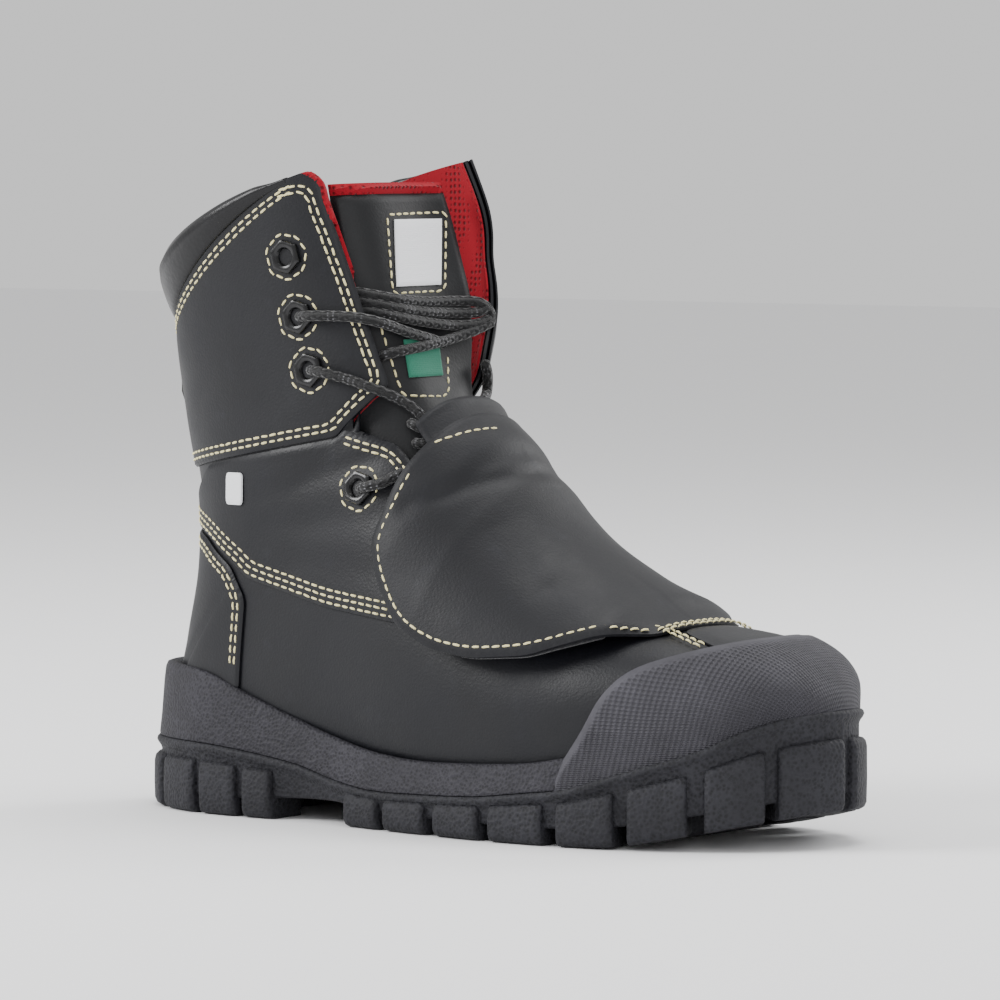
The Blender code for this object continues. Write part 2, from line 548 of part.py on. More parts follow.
def make_panels():
    far = SOLE_WIDTH
    middle = STAY_HALF_WIDTH + GAP
    make_panel("shaft_panel_outer", SHAFT_PANEL, -far, -middle)
    make_panel("quarter_outer", QUARTER, -far, -middle)
    make_panel("quarter_inner", QUARTER, middle, far)
    panel = make_panel("shaft_panel_inner", INNER_SHAFT_PANEL, middle, far)
    boolean(panel, "DIFFERENCE", prism("inner throat", INNER_THROAT, 0.0, INNER_FACING))
    make_panel("heel_counter", HEEL_COUNTER, -far, far)
    make_panel("toe_cap", TOE_CAP, -far, far)
    stay_shape = ((-0.1, 0.440), (0.2, 0.440), (0.2, 1.2), (-0.1, 1.2))
    make_panel("back_stay", stay_shape, -STAY_HALF_WIDTH, STAY_HALF_WIDTH)


def guard_lift():
    """Inside of the flap off the skin, at each point of it: from the ridge's value to the side's value by the
    square of the share of the way down, and never into the panels below."""
    crest_share = SKIN[:, RIDGE_STEP, 0] / LENGTH + 0.5
    ridge, side = (np.interp(crest_share, GUARD_LIFTS[:, 0], GUARD_LIFTS[:, i])[:, None] for i in (1, 2))
    down = (np.arange(SKIN.shape[1]) / RIDGE_STEP - 1) ** 2
    return np.maximum((ridge * (1 - down) + side * down) * GUARD_CLEARANCE, OVERLAY + 2 * GAP)


def make_guard():
    lift = guard_lift()
    guard = shell("met_guard", lift, lift + GUARD_THICK, material("guard leather", LEATHER, 0.55))
    boolean(guard, "INTERSECT", prism("pattern", GUARD, -SOLE_WIDTH, SOLE_WIDTH))
    high = lift - GAP
    neck = shell("guard_neck", high - NECK_THICK, high, material("neck leather", LEATHER, 0.55))
    boolean(neck, "INTERSECT", prism("pattern", GUARD_NECK, -NECK_HALF_WIDTH, NECK_HALF_WIDTH))


def make_tongue():
    face = -WALL - TONGUE_SINK
    tongue = strip("tongue", face - TONGUE_THICK, face, material("tongue leather", LEATHER, 0.45))
    boolean(tongue, "INTERSECT", prism("pattern", TONGUE, -SOLE_WIDTH, SOLE_WIDTH))
    patch = strip("tongue_patch", face + GAP, face + GAP + PATCH_THICK, material("bare patch", (0.8, 0.8, 0.78), 0.7))
    sides = -PATCH_WIDTH * PATCH_OUTER, PATCH_WIDTH * (1 - PATCH_OUTER)
    boolean(patch, "INTERSECT", prism("pattern", PATCH, *sides))


def make_midsole():
    """A loft from inside the rubber cup over its rim to the ledge, with the toe bumper joined on, hollowed by
    the last."""
    inset = BEAD_INSET + RIM_WALL + GAP
    rows = ((inset, "plate", "plate", 0.0), (inset, "bead", "bead", 0.0))
    rows += tuple((LUG_PROUD * moved, "bead", "edge", share) for moved, share in MIDSOLE_SIDE)
    loops = []
    for moved, first, second, share in rows:
        points = outline(moved)
        height = sole_height(first, points[:, 0]) * (1 - share) + sole_height(second, points[:, 0]) * share
        loops.append(np.c_[points, height + GAP])
    finish = material("moulded polyurethane", (0.035, 0.035, 0.037), 0.7)
    midsole = loft("midsole", loops, finish, across=True)
    bumper = last_volume("bumper", OVERLAY + 2 * GAP + BUMPER_WALL, 0.0)
    along = np.linspace(1.0, BUMPER_EDGE[0][0] - 0.02, BUMPER_STEPS)
    bead = sole_height("bead", world_x(along)) + 4 * GAP
    shape = BUMPER_EDGE + ((1.1, bead[0] / BOOT_HEIGHT),) + tuple(zip(along, bead / BOOT_HEIGHT))
    boolean(bumper, "INTERSECT", prism("pattern", shape, -SOLE_WIDTH, SOLE_WIDTH))
    boolean(midsole, "UNION", bumper)
    boolean(midsole, "DIFFERENCE", last_volume("hollow", 2 * GAP, 2 * GAP))
    for shape, shift in ((HEEL_COUNTER, GAP), (TOE_CAP, -GAP)):
        room = last_volume("room", OVERLAY + 2 * GAP, 0.0)
        boolean(room, "INTERSECT", prism("pattern", shape, -SOLE_WIDTH, SOLE_WIDTH, shift))
        boolean(midsole, "DIFFERENCE", room)


def lug(outer, inward, base):
    """One tread block: its section carried along the side of the sole. The outer face leans in at the ground
    and at the top, and the block stands in the sole and in the wall of its cup."""
    ground, bead = sole_height("ground", outer[:, 0]), sole_height("bead", outer[:, 0])
    top = base + (bead - base) * LUG_TOP
    inside = LUG_PROUD + 2 * GAP
    rooted = base + 3 * GAP
    section = (
        (LUG_BEVEL, ground), (0.0, ground + LUG_BEVEL), (0.0, top), (inside, top + LUG_PROUD * 0.8),
        (inside + GAP, rooted), (LUG_DEPTH, rooted), (LUG_DEPTH, ground),
    )
    return np.stack([np.c_[outer + inward * moved, height] for moved, height in section], 1)


def make_outsole():
    rows = (
        (LUG_PROUD + LUG_BEVEL, "base", 0.0),
        (LUG_PROUD, "base", TREAD_ROUND),
        (LUG_PROUD, "bead", -2 * BEAD_HEIGHT),
        (BEAD_INSET, "bead", -BEAD_HEIGHT),
        (BEAD_INSET, "bead", -BEAD_ROUND),
        (BEAD_INSET * 1.5, "bead", 0.0),
        (BEAD_INSET + RIM_WALL, "bead", 0.0),
        (BEAD_INSET + RIM_WALL, "plate", 0.0),
    )
    loops = []
    for moved, column, more in rows:
        points = outline(moved)
        loops.append(np.c_[points, sole_height(column, points[:, 0]) + more])
    rubber = material("nitrile rubber", (0.02, 0.02, 0.021), 0.65)
    outsole = loft("outsole", loops, rubber, across=True)
    blocks = []
    for edge in side_edges(0.0):
        curve, inward = edge[:, :2], edge[:, 2:]
        share = curve[:, 0] / LENGTH + 0.5
        length = np.r_[0, np.cumsum(np.linalg.norm(np.diff(curve, axis=0), axis=1))]
        for first, last in HEEL_LUGS + FORE_LUGS:
            ends = np.interp((first, last), share, length)
            at = np.linspace(*ends, LUG_STEPS)
            outer = np.stack([np.interp(at, length, curve[:, i]) for i in (0, 1)], 1)
            towards = np.stack([np.interp(at, length, inward[:, i]) for i in (0, 1)], 1)
            base = sole_height("base", outer[:, 0]) + TREAD_ROUND
            blocks.append(lug(outer, towards, base))
    for along, half_length, half_width in MIDDLE_BARS:
        x = world_x(along)
        a, b = half_length * SOLE_WIDTH, half_width * SOLE_WIDTH
        plan = np.array([(-a, -b * 0.8), (0, -b), (a, -b * 0.8), (a * 0.6, 0), (a, b * 0.8), (0, b), (-a, b * 0.8),
                         (-a * 1.3, 0)]) + [x, 0]
        low = sole_height("ground", plan[:, 0]) + BAR_SHORT
        high = sole_height("base", plan[:, 0]) + BAR_ROOT
        blocks.append(np.array([np.c_[plan, low], np.c_[plan, high]]))
    points, faces, start = [], [], 0
    for loops in blocks:
        faces += [[start + i for i in face] for face in loft_faces(*loops.shape[:2])]
        points.append(loops.reshape(-1, 3))
        start += len(points[-1])
    boolean(outsole, "UNION", add_object("tread", np.vstack(points), faces), crossing=True)


def make_insole():
    """A flat footbed just inside the foot of the upper."""
    inset = FEATHER_INSET + WALL + 2 * GAP + INSOLE_MARGIN
    loops = []
    for more in (0.0, INSOLE_THICK):
        points = outline(inset, INSOLE_STEPS)
        loops.append(np.c_[points, sole_height("feather", points[:, 0]) + more])
    loft("insole", loops, material("footbed felt", (0.05, 0.05, 0.055), 0.9), across=True)


def make_collar_pad():
    """A padded roll over the collar's edge: an upside-down U carried round from one side of the throat to the
    other. Its legs follow the skin downwards from the edge."""
    columns = SKIN.shape[1]
    order = list(range(RIDGE_STEP - 1, -1, -1)) + list(range(columns - 2, RIDGE_STEP, -1))
    below = slice(None, -PAD_ROWS - 1, -1)
    fall, normals = SKIN[below][:, order], OUTWARD[below][:, order]
    path = fall[0]
    length = np.r_[0, np.cumsum(np.linalg.norm(np.diff(path, axis=0), axis=1))]
    ends = []
    for front, inside_is, step in ((THROAT[0][0], 0, -1), (INNER_PAD_FRONT, -1, 1)):
        front_x = world_x(front) - PAD_FRONT_SETBACK
        inside = np.flatnonzero(path[:, 0] < front_x)[inside_is]
        outside = inside + step
        share = (front_x - path[inside, 0]) / (path[outside, 0] - path[inside, 0])
        ends.append(length[inside] + share * (length[outside] - length[inside]))
    at = np.r_[ends[0], length[(length > ends[0] + GAP) & (length < ends[1] - GAP)], ends[1]]

    def carried(values):
        return np.stack([np.interp(at, length, values[:, i]) for i in range(3)], 1)

    fall = np.array([carried(row) for row in fall])
    normals = np.array([carried(row) for row in normals])
    depth = np.cumsum(np.linalg.norm(np.diff(fall, axis=0), axis=2), axis=0)
    depth = np.vstack([np.zeros(len(at)), depth])
    up = fall[0] - fall[1]
    up /= np.linalg.norm(up, axis=1)[:, None]
    backness = np.sin((at - at[0]) / (at[-1] - at[0]) * np.pi) ** 1.5
    drop = PAD_DROP_FRONT + (PAD_DROP_BACK - PAD_DROP_FRONT) * backness
    proud = PAD_PROUD * (0.3 + 0.7 * backness)
    lined = LINING + (PAD_PROUD - LINING) * backness
    rise = PAD_TOP_FRONT + (PAD_TOP_BACK - PAD_TOP_FRONT) * backness
    cover, inner = OVERLAY + 2 * GAP, -WALL - GAP

    def line(leg, down_share, thick_share, rise_share):
        """One line of the roll: some way down the skin from the collar's edge, or above it, off the skin."""
        down = drop * down_share
        lift = {1: cover + proud * thick_share, 0: 0 * at, -1: inner - lined * thick_share}[leg]
        above = np.maximum(rise * rise_share, GAP * (down_share == 0))
        found = []
        for station in range(len(at)):
            place = [
                np.interp(down[station], depth[:, station], source[:, station, i])
                for source in (fall, normals) for i in range(3)
            ]
            normal = np.array(place[3:]) / np.linalg.norm(place[3:])
            found.append(np.array(place[:3]) + normal * lift[station] + up[station] * above[station])
        return np.array(found)

    loops = np.array([line(*row) for row in COLLAR_SECTION]).transpose(1, 0, 2)
    loft("collar_pad", loops, material("collar leather", LEATHER, 0.4))


def eyelet_place(side, number):
    """World x, z and side of an eyelet."""
    outer, inner, height = EYELETS[number]
    return world_x(outer if side < 0 else inner), height * BOOT_HEIGHT, side


def make_eyelets():
    """Hexagonal washers, with their holes cut through the leather behind them."""
    washer = material("eyelet enamel", (0.01, 0.01, 0.01), 0.35, 0.6)
    holed = {name: bpy.data.objects[name] for name in ("upper", "shaft_panel_outer", "shaft_panel_inner",
                                                         "quarter_outer", "quarter_inner")}
    lift = OVERLAY + 2 * GAP
    for side, label in ((-1, "outer"), (1, "inner")):
        for number in range(len(EYELETS)):
            frame = skin_frame(*eyelet_place(side, number))
            count = EYELET_SIDES
            outer = ring_points(EYELET_RADIUS, count)
            inner = ring_points(EYELET_HOLE, count)
            profile = ((outer, 0.0), (outer, 0.6), (outer * 0.86, 1.0), (inner, 1.0), (inner, 0.0))
            loops = [placed(np.c_[ring, np.full(count, share * EYELET_THICK)], frame, lift) for ring, share in profile]
            faces = grid_faces(len(loops) + 1, count, close=True) % (len(loops) * count)
            add_object(f"eyelet_{label}_{number + 1}", np.array(loops), faces, washer)
            for target in ("upper", f"quarter_{label}" if number == 3 else f"shaft_panel_{label}"):
                hole = ring_points(EYELET_HOLE + GAP, PUNCH_SIDES)
                ends = [np.insert(hole, 2, reach, axis=1) for reach in (-PUNCH_REACH, PUNCH_REACH)]
                punch = loft("punch", [placed(end, frame) for end in ends])
                boolean(holed[target], "DIFFERENCE", punch)


def make_small_pieces():
    frame = skin_frame(world_x(TAG_PLACE[0]), TAG_PLACE[1] * BOOT_HEIGHT, -1)
    w, h = TAG_WIDTH / 2, TAG_HEIGHT / 2
    lift = OVERLAY + 3 * GAP
    corners = np.array([(-w, -h), (w, -h), (w, h), (-w, h)])
    loops = [placed(np.c_[corners, np.full(4, t)], frame, lift) for t in (0.0, PATCH_THICK)]
    loft("side_tag", loops, material("woven tag", (0.8, 0.8, 0.78), 0.8))


def make_pull_tab():
    """A short loop of webbing that stands on the back seam."""
    back = SKIN[ON_SOLE:, 0]
    height = PULL_TAB_PLACE * BOOT_HEIGHT
    origin = np.array([np.interp(height, back[:, 2], back[:, i]) for i in range(3)])
    frame = (origin, np.array([-1.0, 0, 0]), np.array([0, 1.0, 0]), np.array([0, 0, 1.0]))
    w, h = PULL_TAB_WIDTH / 2, PULL_TAB_HEIGHT / 2
    lift = OVERLAY + 4 * GAP
    rows = ((-h, 0.0), (-h, 0.4), (-h * 0.5, 1.0), (h * 0.5, 1.0), (h, 0.4), (h, 0.0))
    loops = [
        placed([(across, up, share * PULL_TAB_THICK) for up, share in rows], frame, lift) for across in (-w, w)
    ]
    loft("pull_tab", loops, material("webbing", LEATHER, 0.8))


def make_lace():
    """Bars between the eyelets over the tongue, joined where they meet."""
    radius = LACE_DIAMETER / 2
    facing = OVERLAY + 2 * GAP + radius
    over, on_facing = LACE_OVER_TONGUE, facing + EYELET_THICK + 2 * GAP
    lifts = (on_facing, facing - LACE_DIP, over, over, facing - LACE_DIP, on_facing)
    off = [step * (OUTER_FACING if step < 0 else INNER_FACING) for step in LACE_STEPS]
    bars = (((-1, 1), (1, 1)), ((1, 1), (-1, 2)), ((-1, 1), (1, 2)))
    places = {
        (side, number): skin_place(*eyelet_place(side, number)) for side in (-1, 1) for number in range(len(EYELETS))
    }
    above = np.arange(STRIP_ROW, len(SKIN))
    made = None
    for start, end in bars:
        share = np.linspace(0, 1, BAR_STEPS)
        column = places[start][1] * (1 - share) + places[end][1] * share
        first, last = (eyelet_place(*bar_end)[1] for bar_end in (start, end))
        height = first * (1 - share) + last * share
        row = np.array([np.interp(z, on_grid(SKIN, above, above * 0 + c)[:, 2], above) for z, c in zip(height, column)])
        points, normals = on_grid(SKIN, row, column), on_grid(OUTWARD, row, column)
        lift = np.interp(points[:, 1], off, lifts)
        bar = tube("lace", points + normals * lift[:, None], radius)
        if made:
            boolean(made, "UNION", bar)
        else:
            made = bar
            made.data.materials.append(material("round lace", (0.02, 0.02, 0.022), 0.8))
    made.name = "lace"


def main():
    for old in list(bpy.data.objects):
        bpy.data.objects.remove(old)
    make_outsole()
    make_midsole()
    make_insole()
    make_upper()
    make_panels()
    make_tongue()
    make_guard()
    make_collar_pad()
    make_eyelets()
    make_small_pieces()
    make_pull_tab()
    make_lace()


main()
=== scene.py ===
"""Metatarsal guard boot, right foot: its finished look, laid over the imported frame.

The boot points along +X with its outer side towards -Y and stands on z = 0. Every piece of leather lies on
one surface, the skin of the last, which is a function of two parameters: u runs from the tip of the toe (0)
to the collar (20), and v runs from the outer foot (-1) over the ridge (0) to the inner foot (1).
"""

import json

import bmesh
import bpy
import numpy as np
from bpy.props import FloatProperty, FloatVectorProperty, PointerProperty
from mathutils import Matrix

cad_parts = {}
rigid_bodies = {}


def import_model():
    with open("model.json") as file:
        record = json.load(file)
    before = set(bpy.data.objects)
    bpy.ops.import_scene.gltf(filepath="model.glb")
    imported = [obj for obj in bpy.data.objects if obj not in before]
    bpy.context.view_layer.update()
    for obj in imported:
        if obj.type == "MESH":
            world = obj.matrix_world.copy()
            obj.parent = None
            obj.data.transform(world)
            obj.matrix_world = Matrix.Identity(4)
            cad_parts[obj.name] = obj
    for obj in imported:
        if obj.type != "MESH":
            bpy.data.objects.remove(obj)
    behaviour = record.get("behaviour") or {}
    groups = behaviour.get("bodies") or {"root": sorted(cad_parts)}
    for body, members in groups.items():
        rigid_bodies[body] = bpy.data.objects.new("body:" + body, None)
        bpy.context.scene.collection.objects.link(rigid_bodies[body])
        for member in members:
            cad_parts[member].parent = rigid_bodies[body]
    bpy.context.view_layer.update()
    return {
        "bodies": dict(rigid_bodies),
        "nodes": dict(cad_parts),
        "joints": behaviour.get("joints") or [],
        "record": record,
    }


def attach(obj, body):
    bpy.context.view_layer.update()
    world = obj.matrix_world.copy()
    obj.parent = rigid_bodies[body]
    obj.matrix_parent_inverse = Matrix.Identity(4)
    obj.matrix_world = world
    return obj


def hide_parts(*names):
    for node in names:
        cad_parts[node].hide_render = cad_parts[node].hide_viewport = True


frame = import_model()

bl_info = {
    "name": "Metatarsal guard boot",
    "version": (1, 0, 0),
    "blender": (4, 5, 0),
    "location": "View3D > Sidebar > Boot",
    "description": "Builds the leather, sole, lining, stitching and laces of a metatarsal guard boot",
    "category": "Add Mesh",
}

# The frame's sizes, in metres
LENGTH = 0.312
BALL_WIDTH = 0.100
SOLE_WIDTH = 0.118
BOOT_HEIGHT = 0.249
HEEL_STACK = 0.0555
FEATHER_INSET = 0.012
WALL = 0.0022
OVERLAY = 0.0013
GAP = 0.0003
INNER_FACING = 0.036
FOOT_LENGTH = LENGTH - 2 * FEATHER_INSET
GUARD_CLEARANCE = 0.0082
GUARD_THICK = 0.0037
LUG_PROUD = 0.003
BEAD_INSET = 0.0014
RIM_WALL = 0.0028
PANEL_TOP = OVERLAY + GAP  # outside of every panel, off the skin
HAIR = 0.0001  # keeps faces that lie on each other apart

# Plan of the sole: share of LENGTH from the heel, share of SOLE_WIDTH to the inner side
PLAN = np.array([
    (0.000, 0.000), (0.030, -0.205), (0.125, -0.352), (0.330, -0.385), (0.500, -0.462), (0.640, -0.500),
    (0.800, -0.455), (0.925, -0.285), (1.000, 0.030), (0.968, 0.262), (0.875, 0.428), (0.730, 0.500),
    (0.580, 0.455), (0.420, 0.372), (0.270, 0.360), (0.125, 0.352), (0.030, 0.205),
])

# Side of the sole: share of LENGTH, then heights as shares of HEEL_STACK
SOLE_COLUMNS = ("along", "ground", "base", "plate", "bead", "feather", "edge")
SOLE_SIDE = np.array([
    (0.00, 0.000, 0.130, 0.415, 0.486, 0.595, 1.000),
    (0.08, 0.000, 0.126, 0.415, 0.486, 0.595, 1.000),
    (0.15, 0.000, 0.126, 0.415, 0.482, 0.595, 0.960),
    (0.22, 0.000, 0.126, 0.380, 0.450, 0.577, 0.826),
    (0.30, 0.000, 0.153, 0.306, 0.387, 0.540, 0.676),
    (0.36, 0.000, 0.153, 0.243, 0.306, 0.495, 0.577),
    (0.42, 0.000, 0.117, 0.216, 0.261, 0.450, 0.514),
    (0.50, 0.000, 0.108, 0.207, 0.265, 0.396, 0.486),
    (0.60, 0.000, 0.108, 0.216, 0.288, 0.351, 0.504),
    (0.67, 0.000, 0.108, 0.234, 0.333, 0.342, 0.530),
    (0.73, 0.000, 0.117, 0.252, 0.378, 0.351, 0.586),
    (0.79, 0.010, 0.141, 0.293, 0.477, 0.373, 0.666),
    (0.83, 0.045, 0.171, 0.324, 0.550, 0.396, 0.739),
    (0.89, 0.110, 0.234, 0.369, 0.658, 0.450, 0.838),
    (0.95, 0.180, 0.300, 0.423, 0.829, 0.514, 0.991),
    (1.00, 0.235, 0.345, 0.450, 0.901, 0.559, 1.063),
])

# Sections of the last, as the part's own table
SECTION_COLUMNS = (
    "foot", "rise", "crest_x", "crest_z", "outer", "inner", "belly", "square", "inner_square", "splay",
)
SECTIONS = np.array([
    (1.0000, 0.000, 0.9615, 0.125, 0.000, 0.000, 0.42, 2.3, 2.3, 0.000),
    (0.9900, 0.000, 0.9680, 0.170, 0.120, 0.144, 0.42, 2.3, 2.3, 0.000),
    (0.9650, 0.000, 0.9630, 0.225, 0.210, 0.228, 0.42, 2.4, 2.4, 0.000),
    (0.9300, 0.000, 0.9420, 0.262, 0.305, 0.314, 0.42, 2.6, 2.6, 0.000),
    (0.8820, 0.000, 0.8970, 0.288, 0.390, 0.390, 0.42, 2.8, 2.8, 0.000),
    (0.8160, 0.000, 0.8330, 0.303, 0.452, 0.452, 0.40, 2.8, 2.8, 0.000),
    (0.7430, 0.000, 0.7560, 0.321, 0.492, 0.490, 0.38, 2.5, 2.5, 0.000),
    (0.6600, 0.000, 0.6830, 0.355, 0.500, 0.492, 0.36, 2.2, 2.2, 0.000),
    (0.5690, 0.000, 0.6090, 0.410, 0.487, 0.470, 0.34, 2.1, 2.1, 0.000),
    (0.4720, 0.000, 0.5420, 0.486, 0.462, 0.440, 0.33, 2.1, 2.1, 0.000),
    (0.3680, 0.000, 0.4950, 0.560, 0.435, 0.412, 0.34, 2.3, 2.3, 0.000),
    (0.2500, 0.000, 0.4650, 0.605, 0.405, 0.395, 0.36, 2.7, 2.7, 0.000),
    (0.1390, 0.000, 0.4490, 0.635, 0.385, 0.382, 0.39, 3.0, 3.1, 0.003),
    (0.0560, 0.000, 0.4370, 0.663, 0.370, 0.372, 0.43, 3.3, 3.7, 0.008),
    (0.0000, 0.000, 0.4280, 0.691, 0.362, 0.370, 0.46, 3.4, 4.4, 0.014),
    (0.0120, 0.085, 0.4190, 0.727, 0.360, 0.374, 0.48, 3.4, 5.0, 0.022),
    (0.0330, 0.205, 0.4100, 0.759, 0.360, 0.382, 0.49, 3.3, 5.6, 0.030),
    (0.0330, 0.325, 0.4010, 0.799, 0.360, 0.392, 0.50, 3.2, 6.2, 0.038),
    (0.0130, 0.450, 0.3880, 0.847, 0.365, 0.405, 0.50, 3.1, 6.6, 0.045),
    (0.0000, 0.565, 0.3720, 0.920, 0.375, 0.418, 0.50, 3.0, 6.8, 0.046),
    (0.0000, 0.665, 0.3560, 1.000, 0.385, 0.425, 0.50, 3.0, 6.8, 0.030),
])
TOE, HEEL_CORNER, COLLAR = 0.03, 14, 20  # values of u

# Outlines seen from the side, shares of LENGTH and BOOT_HEIGHT
THROAT = (
    (0.3215, 0.940), (0.319, 0.957), (0.311, 0.969), (0.298, 0.977), (0.285, 0.984), (0.270, 1.200),
    (0.700, 1.200), (0.700, 0.640), (0.492, 0.553), (0.452, 0.546), (0.426, 0.574), (0.359, 0.598),
    (0.407, 0.659),
)
THROAT_FOOT = (
    (0.426, 0.574), (0.359, 0.598), (0.407, 0.659), (0.425, 0.700), (0.700, 0.800), (0.700, 0.640),
    (0.492, 0.553), (0.452, 0.546),
)
INNER_THROAT = (
    (0.345, 0.620), (0.330, 0.640), (0.330, 1.200), (0.700, 1.200), (0.700, 0.640), (0.500, 0.600),
    (0.400, 0.600),
)
SHAFT_PANEL = (
    (-0.100, 0.514), (0.080, 0.522), (0.200, 0.548), (0.350, 0.582), (0.358, 0.596), (0.408, 0.659),
    (0.3215, 0.940), (0.319, 0.957), (0.311, 0.969), (0.298, 0.977), (0.285, 0.984), (0.270, 1.200),
    (-0.100, 1.200),
)
INNER_SHAFT_PANEL = SHAFT_PANEL[:6] + ((0.450, 0.700), (0.450, 1.200), (-0.100, 1.200))
QUARTER = (
    (0.075, 0.519), (0.200, 0.545), (0.350, 0.579), (0.359, 0.592), (0.426, 0.572), (0.452, 0.543),
    (0.490, 0.480), (0.507, 0.305), (0.350, 0.326), (0.219, 0.361), (0.204, 0.372), (0.192, 0.384),
    (0.130, 0.424), (0.060, 0.440),
)
HEEL_COUNTER = (
    (-0.100, 0.436), (0.060, 0.434), (0.127, 0.418), (0.186, 0.378), (0.211, 0.330), (0.202, 0.215),
    (0.200, 0.190), (-0.100, 0.190),
)
BACK_STAY = ((-0.100, 0.440), (0.200, 0.440), (0.200, 1.200), (-0.100, 1.200))
TOE_CAP = (
    (0.905, 0.200), (0.889, 0.281), (0.806, 0.306), (0.796, 0.320), (0.790, 0.420), (1.100, 0.420),
    (1.100, 0.200),
)
BUMPER = (
    (0.700, -0.100), (0.706, 0.100), (0.724, 0.133), (0.745, 0.170), (0.769, 0.225), (0.801, 0.257),
    (0.862, 0.279), (0.905, 0.293), (1.100, 0.300), (1.100, -0.100),
)
GUARD = (
    (0.436, 0.420), (0.455, 0.365), (0.490, 0.305), (0.541, 0.272), (0.599, 0.258), (0.670, 0.260),
    (0.735, 0.281), (0.775, 0.297), (0.800, 0.302), (0.812, 0.320), (0.812, 0.420), (0.520, 0.760),
    (0.478, 0.625), (0.450, 0.520),
)
GUARD_LIFTS = np.array([
    (0.430, 0.52, 0.90), (0.460, 0.62, 0.95), (0.500, 0.95, 1.05), (0.545, 1.10, 1.10), (0.610, 0.95, 1.05),
    (0.685, 0.75, 0.95), (0.755, 0.52, 0.85), (0.800, 0.30, 0.55), (0.835, 0.24, 0.30), (0.900, 0.24, 0.24),
])
GUARD_NECK = ((0.444, 0.606), (0.470, 0.690), (0.600, 0.700), (0.600, 0.420), (0.448, 0.470), (0.440, 0.560))
TONGUE = ((0.280, 0.480), (0.620, 0.400), (0.640, 0.600), (0.480, 0.985), (0.270, 0.952))
EYELETS = ((0.278, 0.318, 0.850), (0.294, 0.330, 0.760), (0.311, 0.340, 0.680), (0.390, 0.390, 0.505))
STAY_HALF_WIDTH = 0.010
NECK_HALF_WIDTH = 0.027
COLLAR_ARCH = 0.006  # rise of the collar's line between its back and its front
TONGUE_FACE = -0.0044  # front of the tongue, off the skin
TONGUE_THICK = 0.0040
BINDING = 0.0040  # height of the tongue's knitted binding
LINING = 0.0016  # thickness of the knitted lining
GUARD_LEATHER = 0.0022  # thickness of the flap's leather, with felt behind it
LABEL = 0.0009  # thickness of the tongue's labels
COLLAR_SEAMS = (0.0022, 0.0046)  # stitch rows below the collar roll
EYELET_SEAM = 0.0088  # radius of the stitches round an eyelet

# Creases across the front of the ankle, in millimetres: height, slope, depth and half width
ANKLE_CREASES = ((128, 0.30, 0.8, 5.0), (112, 0.12, 0.7, 6.0), (97, -0.05, 0.5, 6.0))
# Creases of the flap: both ends as shares seen from the side, depth and half width in millimetres
GUARD_CREASES = (
    ((0.470, 0.470), (0.545, 0.505), 0.9, 3.2), ((0.520, 0.560), (0.500, 0.480), 0.6, 3.0),
    ((0.655, 0.340), (0.790, 0.322), 0.9, 3.5), ((0.560, 0.420), (0.640, 0.350), 0.5, 5.0),
)

# Tread blocks of each side, from the heel: first and last share of LENGTH
LUGS = (
    (0.0004, 0.060), (0.068, 0.135), (0.147, 0.206), (0.218, 0.262), (0.383, 0.440), (0.452, 0.520),
    (0.537, 0.608), (0.625, 0.702), (0.722, 0.795), (0.812, 0.878), (0.896, 0.950), (0.960, 0.9996),
)
# Middle bars of the tread: share of LENGTH, half length, half width as shares of SOLE_WIDTH
MIDDLE_BARS = (
    (0.100, 0.060, 0.130), (0.185, 0.060, 0.150), (0.450, 0.070, 0.210), (0.540, 0.080, 0.260),
    (0.635, 0.080, 0.290), (0.730, 0.080, 0.280), (0.820, 0.075, 0.220),
)

CHANCE = np.random.default_rng(11)

# Numbers of the working grids
STEP = 1e-3  # change of u and v over which slopes are taken
PROBES = 60  # points of a line that measures the skin
SHORT_SIDE = 0.45  # most of a side that a rounded corner takes
EDGE_DROP = 0.45  # share of a sheet's thickness that its outside loses at the edge
EDGE_RISE = 0.12  # share of that loss by which its inside rises there
SEAM_PITCH = 0.0012  # spacing of the points that a seam is seated by

# The photograph's view, fitted to the boot: azimuth and elevation in degrees, distance and target in metres,
# lens for a 36 mm sensor, and the picture's shift
VIEW_AZIMUTH, VIEW_ELEVATION, VIEW_DISTANCE, VIEW_TARGET = 37.0, 3.252, 2.5, (0.0, 0.0, 0.120)
VIEW_LENS, VIEW_SHIFT, VIEW_SENSOR = 240.93, (0.0033, 0.0027), 36.0
# Middle of the picture in thousandths of its width, and how many of them make a metre at the target
PICTURE_MIDDLE, PICTURE_SCALE = (496.7, 502.7), 2677
# What each view of the skin sees: the axes, and the span of v to look in
SEAT_VIEWS = {
    "side": ([0, 2], (0.02, 0.99)), "top": ([0, 1], (-0.62, 0.62)), "picture": (None, (-0.99, 0.45)),
}


# Curves and surfaces


def cubic(t, start, end, slope, next_slope):
    """Points of a cubic at t from 0 to 1, with the points and the slopes at its two ends."""
    return (
        (2 * t**3 - 3 * t**2 + 1) * start + (t**3 - 2 * t**2 + t) * slope
        + (3 * t**2 - 2 * t**3) * end + (t**3 - t**2) * next_slope
    )


def smooth_rows(rows, at):
    """Rows of a table at fractional row numbers, on a cubic through them all whose slope at each row is half
    the difference of its two neighbours."""
    rows = np.asarray(rows, float)
    low = np.clip(np.floor(at).astype(int), 0, len(rows) - 2)
    before, after = np.maximum(low - 1, 0), np.minimum(low + 2, len(rows) - 1)
    p0, p1, p2, p3 = rows[before], rows[low], rows[low + 1], rows[after]
    return cubic((at - low)[:, None], p1, p2, (p2 - p0) / 2, (p3 - p1) / 2)


def ease(t):
    """0 below 0, 1 above 1 and 3t^2 - 2t^3 between."""
    t = np.clip(t, 0, 1)
    return t * t * (3 - 2 * t)


